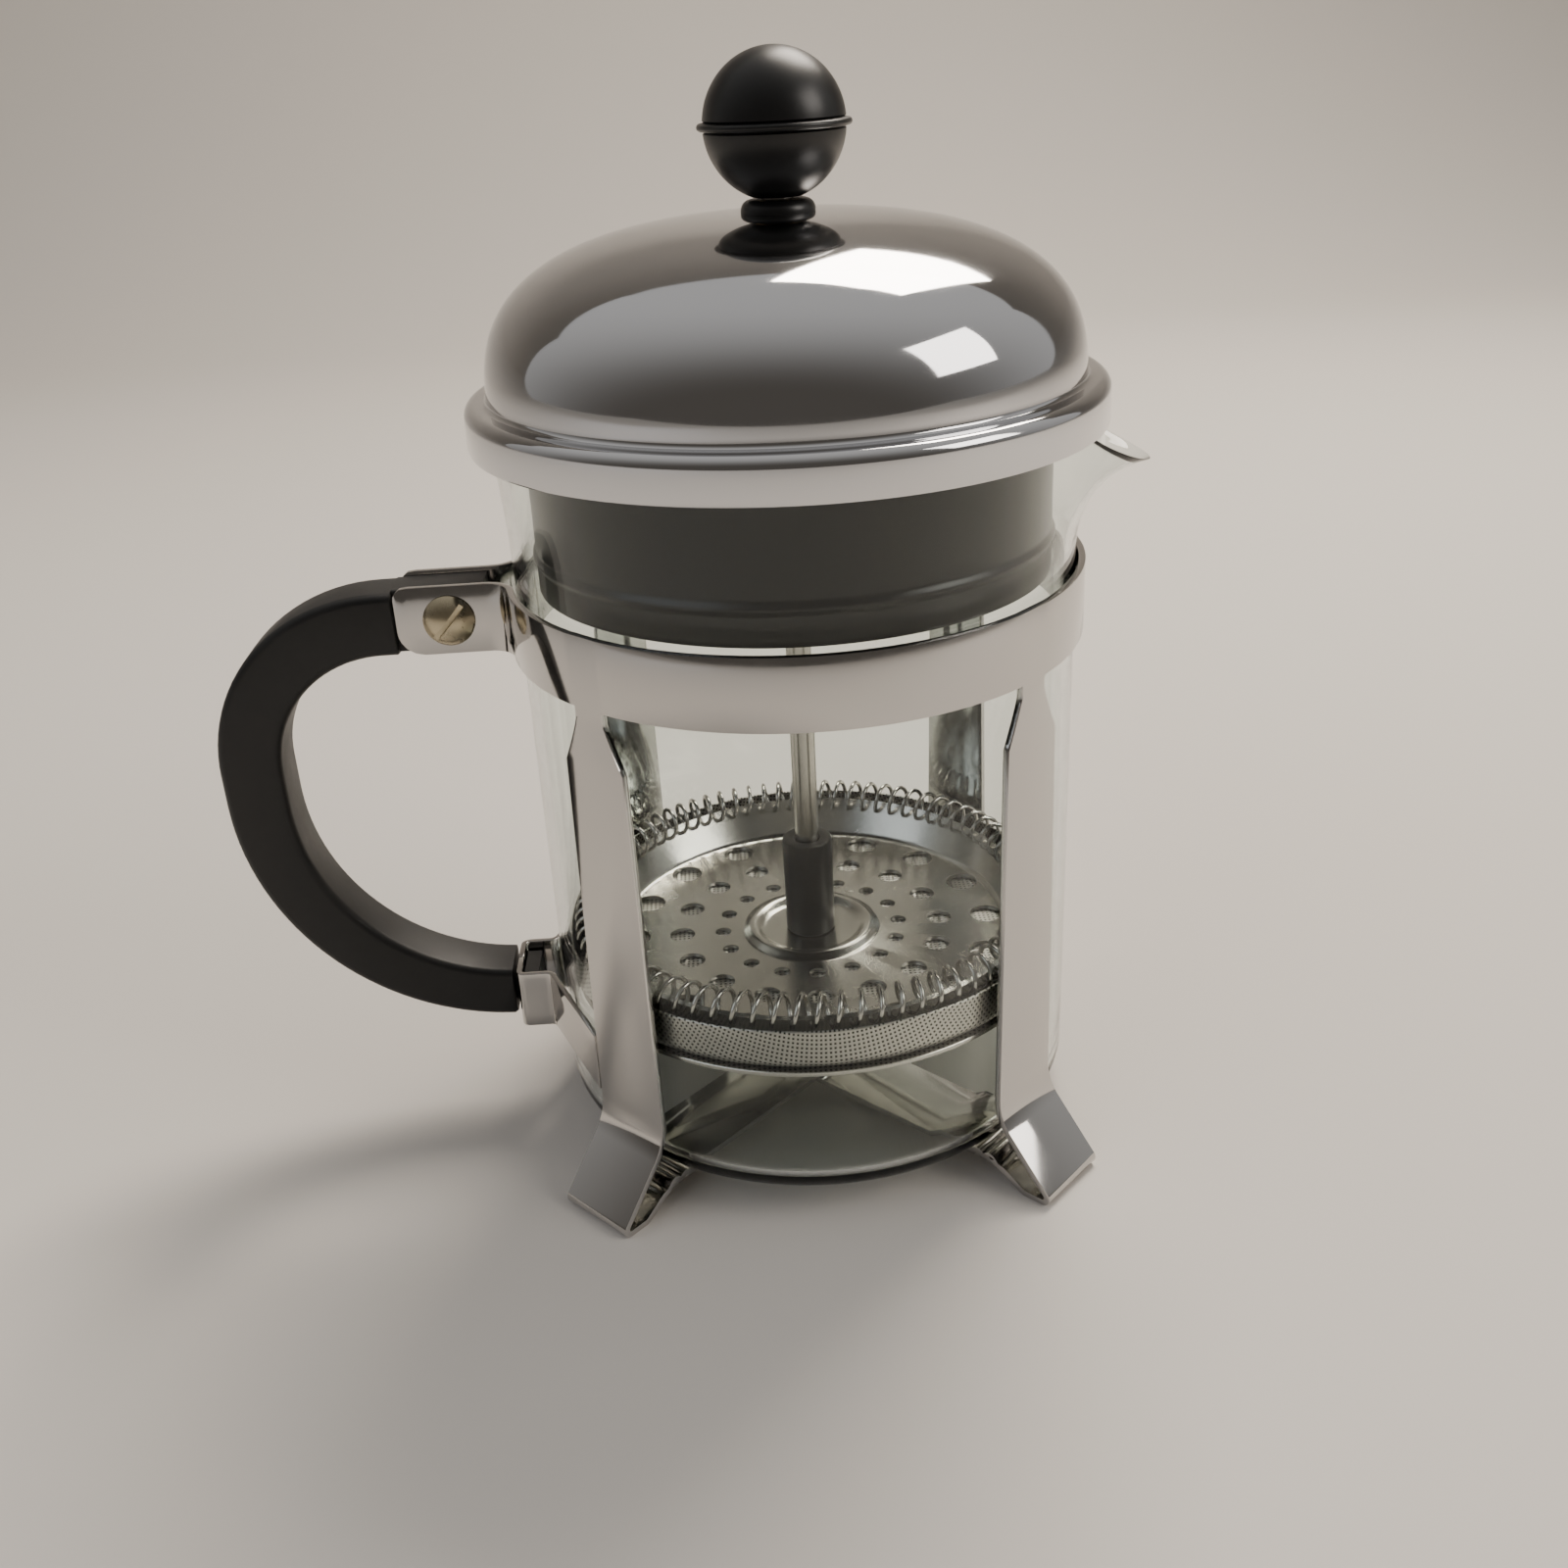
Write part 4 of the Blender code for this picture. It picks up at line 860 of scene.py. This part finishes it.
@dataclass
class Handle:
    """The moulded handle: a tang between the tabs, a long sweep and a head in the pocket."""

    axis_x: float
    shoulder_x: float                 # where the handle meets the tabs' ends
    low_z: float                      # middle of the pocket
    tang_start: float = -47.3 * MM
    top_z: float = 88.75 * MM
    bend_x: float = -63.7 * MM
    bend: float = 23.2 * MM
    sweep_z: float = 60.0 * MM
    sweep: float = 37.7 * MM
    wide: float = 9.7 * MM
    deep: float = 9.8 * MM
    deep_low: float = 8.7 * MM
    edge: float = 1.3 * MM
    ease: float = 0.25 * MM           # how far the grip's ends are rounded back
    pocket_x: float = -50.8 * MM
    head_x: float = -49.0 * MM
    head_thick: float = 2.4 * MM
    # Width, depth and edge of the parts that the frame hides.
    tang: tuple[float, float, float] = (7.0 * MM, 9.9 * MM, 0.5 * MM)
    tang_rise: float = 0.3 * MM       # middle of the tang above the grip's
    stem: tuple[float, float, float] = (3.8 * MM, 4.4 * MM, 0.3 * MM)
    head: tuple[float, float, float] = (8.4 * MM, 8.0 * MM, 0.8 * MM)

    def stations(self) -> list[Station]:
        """(x, z, turn, width, depth, edge) from the tang to the head."""
        ease = self.ease
        tang_z = self.top_z + self.tang_rise
        grip = (self.wide, self.deep, self.edge)
        start = (self.wide - 2 * ease, self.deep - 2 * ease, self.edge)
        end = (self.wide - 2 * ease, self.deep_low - 2 * ease, self.edge)
        path = [(self.tang_start, tang_z, 0.0, *self.tang),
                (self.shoulder_x, tang_z, 0.0, *self.tang),
                (self.shoulder_x, self.top_z, 0.0, *start),
                (self.shoulder_x - ease, self.top_z, 0.0, *grip)]
        # The upper bend turns through a right angle, the long sweep until it meets the pocket.
        for i in range(25):
            turn = i / 24 * pi / 2
            path.append((self.bend_x - self.bend * sin(turn),
                         self.top_z - self.bend + self.bend * cos(turn), turn, *grip))
        middle_x = self.bend_x - self.bend + self.sweep
        last = pi / 2 - (self.pocket_x - ease - middle_x) / -self.sweep
        for i in range(31):
            turn = last * i / 30
            deep = self.deep + (self.deep_low - self.deep) * i / 30
            path.append((middle_x - self.sweep * cos(turn), self.sweep_z - self.sweep * sin(turn),
                         pi / 2 + turn, self.wide, deep, self.edge))
        path += [(self.pocket_x, path[-1][1], pi, *end),
                 (self.pocket_x, self.low_z, pi, *self.stem),
                 (self.head_x, self.low_z, pi, *self.stem),
                 (self.head_x, self.low_z, pi, *self.head),
                 (self.head_x + self.head_thick, self.low_z, pi, *self.head)]
        return path

    def ring(self, station: Station) -> list[Vector]:
        """Place the handle's section at a station.

        Args:
            station: (x, z, turn, width, depth, edge).

        Returns:
            The corners of a rounded rectangle across the handle.
        """
        x, z, turn, wide, deep, edge = station
        corners = []
        for quarter in range(4):
            side = 1 if quarter in (0, 3) else -1
            outward = 1 if quarter < 2 else -1
            corners += arc(side * (wide / 2 - edge), outward * (deep / 2 - edge), edge,
                           quarter * pi / 2, (quarter + 1) * pi / 2, 5)
        return [Vector((self.axis_x + x - b * sin(turn), a, z + b * cos(turn))) for a, b in corners]

    def build(self) -> None:
        """Loft the handle through its stations and close its ends."""
        bm = bmesh.new()
        rings = [[bm.verts.new(place) for place in self.ring(station)]
                 for station in self.stations()]
        # bridge_loops twists some of these rings, so the faces between them are made one by one.
        for first, second in zip(rings, rings[1:]):
            for i in range(len(first)):
                bm.faces.new((first[i - 1], first[i], second[i], second[i - 1]))
        for ring in (rings[0], rings[-1]):
            bm.faces.new(ring)
        bmesh.ops.remove_doubles(bm, verts=bm.verts, dist=1e-7)
        bmesh.ops.recalc_face_normals(bm, faces=bm.faces)
        grip = finish_mesh("moulded_handle", bm, Finishes.GRIP, 40)
        mount(grip, "frame", "handle_plastic", "handle")


@dataclass
class Clamp:
    """The slotted screw through the tabs and its nut."""

    head: float = 3.9 * MM
    head_height: float = 2.0 * MM
    crown: float = 5.0 * MM           # radius of the head's dome
    domed: float = 0.97               # share of the head's radius that the dome takes
    edge: float = 0.15 * MM
    shank: float = 2.0 * MM
    chamfer: float = 0.3 * MM
    slot: float = 0.8 * MM
    slot_depth: float = 1.3 * MM
    slot_turn: float = radians(48)
    play: float = 0.05 * MM           # between the shank and the nut

    def build(self) -> None:
        """Make the screw about Z, lay it along Y, and make the nut the same way."""
        low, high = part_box("clamp_screw")
        place = Matrix.Translation(((low.x + high.x) / 2, low.y, (low.z + high.z) / 2))
        length = high.y - low.y
        lay = place @ Matrix.Rotation(pi / 2, 4, "X")
        reach = asin(self.head * self.domed / self.crown)
        profile = [(self.crown * sin(reach * k / 8), self.crown * (cos(reach * k / 8) - 1))
                   for k in range(9)]
        profile += [(self.head, profile[-1][1] - self.edge), (self.head, -self.head_height),
                    (self.shank, -self.head_height), (self.shank, self.chamfer - length),
                    (self.shank - self.chamfer, -length), (0, -length)]
        bm = spun(profile, 0.0, 64, closed=False)
        screw = finish_mesh("slotted_screw", bm, Finishes.NICKEL)
        blade = Matrix.Diagonal((4 * self.head, self.slot, 2 * self.slot_depth, 1))
        tool = bmesh.new()
        bmesh.ops.create_cube(tool, size=1,
                              matrix=Matrix.Rotation(self.slot_turn, 4, "Z") @ blade)
        cut_away(screw, tool)
        screw.data.transform(lay)
        shade(screw.data, 30)
        mount(screw, "frame", "screw_steel", "clamp_screw")
        hexagon_nut("clamp_nut", "clamp_nut", "screw_steel", Finishes.NICKEL,
                    self.shank + self.play, "frame", "Y")


# --- lid --------------------------------------------------------------------------------------
@dataclass
class Lid:
    """The chromed dome with its liner underneath and its collar on top."""

    axis_x: float
    skirt_bottom: float
    dome_top: float
    skirt: float = 46.7 * MM
    sheet: float = 0.8 * MM
    ledge: float = 121.0 * MM
    dome: float = 43.3 * MM
    power: float = 2.65               # 2 would be an ellipse, more is squarer
    hole: float = 3.9 * MM
    cove: float = 0.7 * MM            # between the dome and its ledge
    cove_rise: float = 1.0 * MM
    shoulder: float = 1.7 * MM
    shoulder_rise: float = 0.25 * MM
    rolled: tuple[float, float] = (0.12 * MM, 0.3 * MM)         # the skirt's edge, in and up
    liner_r: float = 38.85 * MM
    liner_wall: float = 1.6 * MM
    liner_web: float = 1.6 * MM
    flange: float = 1.0 * MM
    root: float = 0.3 * MM            # how much thicker the wall is under the flange
    rib_z: float = 99.4 * MM
    rib: float = 0.55 * MM
    rib_half: float = 1.0 * MM
    boss: tuple[float, float] = (6.0 * MM, 2.3 * MM)            # its radius and its bore's
    boss_drop: float = 6.0 * MM

    def height(self, r: float) -> float:
        """Height of the dome's outside at a radius."""
        share = (1 - (r / self.dome) ** self.power) ** (1 / self.power)
        return self.ledge + (self.dome_top - self.ledge) * share

    def shell(self) -> None:
        """Make the dome from its outer outline and its sheet's thickness."""
        # Even steps out to where the dome turns down, then finer ones to its foot.
        turn_down, count = 0.8, 28
        inner = turn_down * self.dome
        radii = [self.hole + (inner - self.hole) * k / count for k in range(count)]
        radii += [inner + (self.dome - inner) * sin(k / count * pi / 2) for k in range(count)]
        outline = [(r, self.height(r)) for r in radii]
        # A small cove, the ledge, its rounded shoulder and the skirt with a rolled-in edge.
        outline += arc(self.dome + self.cove, self.ledge + self.cove_rise, self.cove,
                       pi, 3 * pi / 2, 6)
        outline += arc(self.skirt - self.shoulder, self.ledge + self.shoulder_rise - self.shoulder,
                       self.shoulder, pi / 2, 0, 8)
        rolled_in, rolled_up = self.rolled
        outline.append((self.skirt, self.skirt_bottom + rolled_up))
        outline.append((self.skirt - rolled_in, self.skirt_bottom))
        bm = spun(walled(outline, self.sheet), self.axis_x, 192)
        metal = finish_mesh("chromed_dome", bm, Finishes.CHROME, 50)
        mount(metal, "lid", "lid_chrome", "lid_dome")

    def liner(self) -> None:
        """Make the moulded liner: flange on the rim, wall with a rib, web with a boss."""
        low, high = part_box("lid_liner")
        flange_r, wall_r = (high.x - low.x) / 2, self.liner_r
        under = high.z - self.flange
        web = high.z - self.liner_web
        inner = wall_r - self.liner_wall
        boss_r, bore = self.boss
        boss_z = under - self.boss_drop
        profile = [(flange_r, high.z), (flange_r, under), (wall_r + self.root, under),
                   (wall_r, under - MM), (wall_r, self.rib_z + self.rib_half),
                   (wall_r + self.rib, self.rib_z), (wall_r, self.rib_z - self.rib_half),
                   (wall_r, low.z), (inner, low.z), (inner, web), (boss_r, web),
                   (boss_r, boss_z), (bore, boss_z), (bore, high.z)]
        bm = spun(eased(profile, 0.35 * MM), self.axis_x, 160)
        plastic = finish_mesh("liner_moulding", bm, Finishes.LINER)
        mount(plastic, "lid", "lid_plastic", "lid_liner")

    def collar(self) -> None:
        """Make the collar on the dome, with the stem that guides the rod."""
        low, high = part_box("lid_bush")
        widest, neck, bore, stem = (high.x - low.x) / 2, 3.8 * MM, 2.25 * MM, 3.6 * MM
        base = self.dome_top - 0.02 * MM      # pressed on the dome
        quarter = widest - neck
        profile = arc(neck, high.z - quarter, quarter, pi / 2, 0, 8)
        profile += [(widest, base), (stem, base), (stem, low.z), (bore, low.z), (bore, high.z)]
        plastic = finish_mesh("collar_bush", spun(profile, self.axis_x, 64), Finishes.KNOB)
        mount(plastic, "lid", "lid_plastic", "lid_bush")

    def build(self) -> None:
        """Make the lid's pieces."""
        self.shell()
        self.liner()
        self.collar()


# --- plunger ----------------------------------------------------------------------------------
@dataclass
class Plunger:
    """The ball knob, the rod, its sleeve, and the filter with its spring and wire cloth."""

    axis_x: float
    knob_r: float = 9.9 * MM
    knob_hole: float = 3.55 * MM
    bead: float = 0.8 * MM
    bead_round: float = 0.5 * MM
    groove: float = 0.25 * MM         # its depth in the ball
    groove_rise: float = 0.62 * MM    # its height above and below the ball's middle
    groove_turn: float = 0.062        # about the same as an angle, in radians
    groove_end: float = 0.85 * MM     # where the ball goes on
    rod_r: float = 2.0 * MM
    rod_chamfer: float = 0.4 * MM
    # Radius of each row of holes, and of its holes.
    rows: tuple[tuple[float, float], ...] = (
        (15.0 * MM, 1.35 * MM), (22.0 * MM, 2.15 * MM), (30.2 * MM, 2.75 * MM))
    holes_per_row: int = 16
    sheet: float = 0.7 * MM
    play: float = 0.1 * MM            # between the rod and the plates
    ring: float = 9.8 * MM            # radius of the plate's raised ring
    ring_half: float = 2.2 * MM
    ring_rise: float = 0.9 * MM
    knee_r: float = 32.4 * MM         # where the plate turns up into its rim
    knee: float = 1.6 * MM
    rim_slope: float = radians(62)
    rim_top: float = 35.2 * MM
    coil_turns: int = 80
    coil_r: float = 2.95 * MM
    wire: float = 0.38 * MM
    coil_start: float = radians(-22)
    coil_lap: float = 1.012           # turns round the plate, so that the ends pass each other
    coil_crowd: float = 0.006         # how much closer the turns lie there
    coil_waver: float = 0.25 * MM     # how far the ring rises and falls on its way round
    cloth_wall: float = 0.25 * MM
    cloth_bend: float = 2.2 * MM
    window_in: float = 10.0 * MM
    window_out: float = 34.0 * MM
    spoke_half: float = 4.0 * MM

    def knob(self) -> None:
        """Make the ball: two halves with a bead round the joint and a flat underneath."""
        low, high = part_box("knob")
        centre = high.z - self.knob_r
        flat_r = sqrt(self.knob_r ** 2 - (centre - low.z) ** 2)
        near = atan2(self.groove_end, self.knob_r)
        bottom = -atan2(centre - low.z, flat_r)
        # A fine groove on each side sets the bead off from the ball.
        groove_r = (self.knob_r - self.groove) * cos(self.groove_turn)
        profile = arc(0, centre, self.knob_r, pi / 2, near, 28)
        profile.append((groove_r, centre + self.groove_rise))
        profile += arc(self.knob_r + self.bead - self.bead_round, centre, self.bead_round,
                       pi / 2, -pi / 2, 8)
        profile.append((groove_r, centre - self.groove_rise))
        profile += arc(0, centre, self.knob_r, -near, bottom, 28)
        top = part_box("knob_insert")[1].z + 0.25 * MM     # room over the insert
        profile += [(self.knob_hole, low.z), (self.knob_hole, top), (0.0, top)]
        bm = spun(profile, self.axis_x, 128, closed=False)
        ball = finish_mesh("ball_knob", bm, Finishes.KNOB, 40)
        mount(ball, "plunger", "knob_plastic", "knob")

    def rod(self) -> None:
        """Make the rod with its chamfered ends."""
        low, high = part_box("plunger_rod")
        end_r = self.rod_r - self.rod_chamfer
        profile = [(0, high.z), (end_r, high.z), (self.rod_r, high.z - self.rod_chamfer),
                   (self.rod_r, low.z + self.rod_chamfer), (end_r, low.z), (0, low.z)]
        bm = spun(profile, self.axis_x, 48, closed=False)
        steel = finish_mesh("drawn_rod", bm, Finishes.DRAWN)
        mount(steel, "rod", "rod_steel", "plunger_rod")

    def sleeve(self) -> None:
        """Make the black sleeve that stands on the filter plate."""
        low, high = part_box("spacer_sleeve")
        outer, bore = (high.x - low.x) / 2, self.rod_r + 0.08 * MM
        foot = low.z - 0.25 * MM              # pressed into the plate
        profile = eased([(outer, high.z), (outer, foot), (bore, foot), (bore, high.z)], 0.35 * MM)
        plastic = finish_mesh("rod_sleeve", spun(profile, self.axis_x, 64), Finishes.KNOB)
        mount(plastic, "plunger", "lid_plastic", "spacer_sleeve")

    def plate(self) -> None:
        """Make the dished plate: a raised ring, three rows of holes and an upturned rim."""
        low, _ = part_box("filter_plate")
        top = low.z + self.sheet
        outline = [(self.rod_r + self.play, top), (self.ring - self.ring_half, top)]
        outline += [(self.ring + self.ring_half * (k / 6 - 1),
                     top + self.ring_rise * sin(k / 12 * pi) ** 2) for k in range(1, 12)]
        outline.append((self.ring + self.ring_half, top))
        slope = self.rim_slope
        outline += arc(self.knee_r, top + self.knee, self.knee, -pi / 2, -pi / 2 + slope, 8)
        last_r, last_z = outline[-1]
        rim_r = last_r + (self.rim_top - last_z) * cos(slope) / sin(slope)
        outline.append((rim_r, self.rim_top))
        bm = spun(walled(outline, self.sheet), self.axis_x, 144)
        steel = finish_mesh("pressed_filter_plate", bm, Finishes.ROLLED)
        centre = Matrix.Translation((self.axis_x, 0, low.z))
        punch = 6 * MM                        # longer than the plate is thick
        tool = bmesh.new()
        for row_r, hole_r in self.rows:
            for k in range(self.holes_per_row):
                turn = Matrix.Rotation(tau * k / self.holes_per_row, 4, "Z")
                spot = centre @ turn @ Matrix.Translation((row_r, 0, 0))
                cylinder(tool, hole_r, punch, spot, 24)
        cut_away(steel, tool)
        shade(steel.data, 30)
        mount(steel, "plunger", "filter_steel", "filter_plate")

    def coil(self) -> None:
        """Wind the spring round the plate's rim, its ends hooked past each other."""
        low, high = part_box("filter_coil")
        ring = (high.x - low.x) / 2 - self.coil_r
        middle = (low.z + high.z) / 2
        core = self.coil_r - self.wire
        steps = 16
        count = self.coil_turns * steps
        curve = bpy.data.curves.new("spring", "CURVE")
        curve.dimensions = "3D"
        curve.bevel_depth = self.wire
        curve.bevel_resolution = 2
        curve.use_fill_caps = True
        spline = curve.splines.new("POLY")
        spline.points.add(count)
        for k, point in enumerate(spline.points):
            share = k / count
            crowd = self.coil_crowd * sin(tau * share)
            around = self.coil_start + tau * (self.coil_lap * share + crowd)
            wind = tau * k / steps
            r = ring + core * cos(wind)
            # Three waves go round, set off by some angle from the ends.
            z = middle + core * sin(wind) + self.coil_waver * sin(3 * around + 0.6)
            point.co = (self.axis_x + r * cos(around), r * sin(around), z, 1)
        source = linked("spring source", curve)
        bm = bmesh.new()
        bm.from_mesh(evaluated(source))
        bpy.data.objects.remove(source, do_unlink=True)
        bmesh.ops.remove_doubles(bm, verts=bm.verts, dist=1e-6)
        wire = finish_mesh("coiled_edge_spring", bm, Finishes.WIRE, 80)
        mount(wire, "plunger", "spring_steel", "filter_coil")

    def cloth(self) -> None:
        """Draw the wire cloth up round the filter, keeping its flat layout for its weave."""
        low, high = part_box("filter_mesh")
        rim, bend = (high.x - low.x) / 2, self.cloth_bend
        floor = low.z + self.cloth_wall
        outline = [(self.rod_r + 0.5 * MM, floor)]
        outline += [(rim * share, floor) for share in (0.3, 0.6, 0.9)]
        outline += arc(rim - bend, floor + bend, bend, -pi / 2, 0, 8)
        outline += [(rim - 0.05 * MM, low.z + 5 * MM), (rim, high.z - 0.3 * MM),
                    (rim - 0.1 * MM, high.z)]
        # Length along the cloth from the press's axis to each point of its outline.
        developed = [outline[0][0]]
        for first, second in zip(outline, outline[1:]):
            developed.append(developed[-1] + hypot(second[0] - first[0], second[1] - first[1]))
        bm = spun(outline, self.axis_x, 160, closed=False)
        layer = bm.loops.layers.uv.new("cloth")
        for face in bm.faces:
            for loop in face.loops:
                x, y, z = loop.vert.co.x - self.axis_x, loop.vert.co.y, loop.vert.co.z
                near = min(range(len(outline)), key=lambda k: abs(outline[k][1] - z)
                           + abs(outline[k][0] - hypot(x, y)))
                scale = developed[near] / hypot(x, y) / MM
                loop[layer].uv = (x * scale, y * scale)
        cloth = finish_mesh("wire_cloth", bm, Finishes.CLOTH, 60)
        thick = cloth.modifiers.new("cloth thickness", "SOLIDIFY")
        thick.thickness = self.cloth_wall
        thick.offset = 0
        mount(cloth, "plunger", "mesh_steel", "filter_mesh")

    def spider(self) -> None:
        """Make the lower plate with its four windows."""
        low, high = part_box("cross_plate")
        outer, bore = (high.x - low.x) / 2, self.rod_r + self.play
        profile = eased([(outer, high.z), (outer, low.z), (bore, low.z), (bore, high.z)], 0.25 * MM)
        bm = spun(profile, self.axis_x, 144)
        steel = finish_mesh("cross_plate_disc", bm, Finishes.ROLLED)
        # The spokes between the windows keep their width, so a window's ends turn in.
        wide = atan2(self.spoke_half, self.window_out)
        near = atan2(self.spoke_half, self.window_in)
        tool = bmesh.new()
        for base in (0.0, pi / 2, pi, 3 * pi / 2):
            outline = arc(0, 0, self.window_out, base + wide, base + pi / 2 - wide, 24)
            outline += arc(0, 0, self.window_in, base + pi / 2 - near, base + near, 8)
            verts = [tool.verts.new((self.axis_x + x, y, low.z - MM))
                     for x, y in eased(outline, 0.1 * MM, steps=1)]
            face = tool.faces.new(verts)
            grown = bmesh.ops.extrude_face_region(tool, geom=[face])["geom"]
            grown = [item for item in grown if isinstance(item, bmesh.types.BMVert)]
            bmesh.ops.translate(tool, vec=(0, 0, high.z - low.z + 2 * MM), verts=grown)
        bmesh.ops.recalc_face_normals(tool, faces=tool.faces)
        cut_away(steel, tool)
        mount(steel, "plunger", "filter_steel", "cross_plate")

    def build(self) -> None:
        """Make the plunger's pieces."""
        self.knob()
        self.rod()
        self.sleeve()
        self.plate()
        self.coil()
        self.cloth()
        self.spider()
        hexagon_nut("filter_nut", "filter_hub_nut", "filter_steel", Finishes.ROLLED,
                    self.rod_r + self.play / 2, "plunger", "Z")


# --- studio -----------------------------------------------------------------------------------
@dataclass
class Studio:
    """A pale sweep of floor and backdrop, soft lights, and the camera."""

    axis_x: float
    camera_height: float = 166.4 * MM
    camera_back: float = 231.9 * MM
    camera_turn: float = radians(-2.9)     # the press's turn towards its handle
    pitch: float = radians(25.51)
    yaw: float = radians(-0.83)
    roll: float = radians(-2.99)
    sensor: float = 36.0
    lens: float = 36.0
    floor: str = "#d3cec7"
    room: str = "#67625c"
    wall: str = "#e4e2df"
    wall_side: tuple[float, float, float] = (0.12, 0.62, 0.5)   # where the pale wall lies
    brightness: float = 0.7
    aim: float = 70 * MM                   # height that the lights point at

    def sweep(self) -> None:
        """Make the floor with its curved rise into the backdrop."""
        front, back, bend, top, half = -1.4, 0.75, 0.35, 1.7, 2.4
        line = [(front, 0.0)] + arc(back, bend, bend, -pi / 2, 0, 16) + [(back + bend, top)]
        rows = [(Vector((-half, y, z)), Vector((half, y, z))) for y, z in line]
        bm = bmesh.new()
        extruded_rows(bm, [bm.verts.new(place) for place in rows[0]], rows[1:])
        bmesh.ops.recalc_face_normals(bm, faces=bm.faces)
        mesh = mesh_of("sweep", bm)
        mesh.shade_smooth()
        paper = bpy.data.materials.new("studio paper")
        paper.use_nodes = True
        shader = paper.node_tree.nodes["Principled BSDF"]
        shader.inputs["Base Color"].default_value = linear(self.floor)
        shader.inputs["Roughness"].default_value = 0.8
        mesh.materials.append(paper)
        linked("sweep", mesh)

    def light(self, name: str, place: tuple[float, float, float], size: tuple[float, float],
              power: float, colour: str = "#ffffff", mirrored: bool = True) -> None:
        """Hang a soft box, aimed at the middle of the press.

        Args:
            name: the lamp's name.
            place: where it hangs.
            size: its width and height.
            power: in watts.
            colour: of its light.
            mirrored: whether polished metal shows it.
        """
        lamp = bpy.data.lights.new(name, "AREA")
        lamp.shape = "RECTANGLE"
        lamp.size, lamp.size_y = size
        lamp.energy = power
        lamp.color = linear(colour)[:3]
        aim = Vector((self.axis_x, 0, self.aim)) - Vector(place)
        turn = aim.to_track_quat("-Z", "Y").to_matrix().to_4x4()
        obj = linked(name, lamp)
        obj.visible_glossy = mirrored
        obj.matrix_world = Matrix.Translation(place) @ turn

    def surroundings(self) -> None:
        """Set the world: a pale wall behind and above, a darker room in front and low."""
        world = bpy.data.worlds.new("studio")
        bpy.context.scene.world = world
        world.use_nodes = True
        tree = world.node_tree
        towards = add_node(tree, "VectorMath", {"operation": "DOT_PRODUCT"}, {
            0: add_node(tree, "TexCoord").outputs["Generated"], 1: self.wall_side})
        share = add_node(tree, "MapRange", {"interpolation_type": "SMOOTHSTEP"}, {
            "Value": towards.outputs["Value"], "From Min": -0.45, "From Max": 0.7})
        blend = add_node(tree, "Mix", {"data_type": "RGBA"}, {
            0: share.outputs["Result"], 6: linear(self.room), 7: linear(self.wall)})
        background = tree.nodes["Background"]
        tree.links.new(blend.outputs[2], background.inputs["Color"])
        background.inputs["Strength"].default_value = self.brightness

    def camera(self) -> None:
        """Set the camera up by its height, distance and its three turns."""
        data = bpy.data.cameras.new("camera")
        data.sensor_width = self.sensor
        data.lens = self.lens
        data.clip_start = 0.01
        data.dof.use_dof = False
        forward = Vector((sin(self.yaw) * cos(self.pitch), cos(self.yaw) * cos(self.pitch),
                          -sin(self.pitch)))
        right = Vector((cos(self.yaw), -sin(self.yaw), 0))
        up = right.cross(forward)
        tilted_right = cos(self.roll) * right + sin(self.roll) * up
        tilted_up = cos(self.roll) * up - sin(self.roll) * right
        turn = Matrix((tilted_right, tilted_up, -forward)).transposed().to_4x4()
        place = Matrix.Translation((0, -self.camera_back, self.camera_height)) @ turn
        around = Matrix.Translation((self.axis_x, 0, 0)) @ Matrix.Rotation(self.camera_turn, 4, "Z")
        obj = linked("camera", data)
        obj.matrix_world = around @ place
        bpy.context.scene.camera = obj

    def build(self) -> None:
        """Set up everything that isn't the press."""
        self.camera()
        self.sweep()
        self.surroundings()
        self.light("key", (0.3, 0.5, 0.85), (0.45, 0.45), 12.0, "#fff4e6")
        self.light("side", (0.85, -0.35, 0.6), (0.5, 0.5), 4.0, "#fff8f0")
        self.light("fill", (-0.8, -0.5, 0.6), (0.9, 0.9), 3.0, "#eef3ff", mirrored=False)


def main() -> None:
    """Build the press's sub-assemblies in order and set up the studio."""
    logging.basicConfig(level=logging.INFO, format="%(message)s")
    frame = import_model()
    dome_low, dome_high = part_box("lid_dome")
    axis_x = (dome_low.x + dome_high.x) / 2
    beaker_low, beaker_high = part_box("beaker")
    band_low, band_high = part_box("frame_band")
    bracket_low, bracket_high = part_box("bracket_front")
    lip = 1.2 * MM                    # how far the beaker's rim stands out past its wall
    shoulder = 0.3 * MM               # gap between the clamp's tabs and the handle
    Studio(axis_x).build()
    Beaker(axis_x, beaker_low.z, beaker_high.z).build()
    Frame(axis_x, band_low.z, band_high.z, (beaker_high.y - beaker_low.y) / 2 - lip).build()
    Handle(axis_x, band_low.x - axis_x - shoulder, (bracket_low.z + bracket_high.z) / 2).build()
    Clamp().build()
    Lid(axis_x, dome_low.z, dome_high.z).build()
    Plunger(axis_x).build()
    dress_node(frame, "lid_nut", Finishes.ROLLED)
    dress_node(frame, "knob_insert", Finishes.BRASS)


if __name__ == "__main__":
    main()
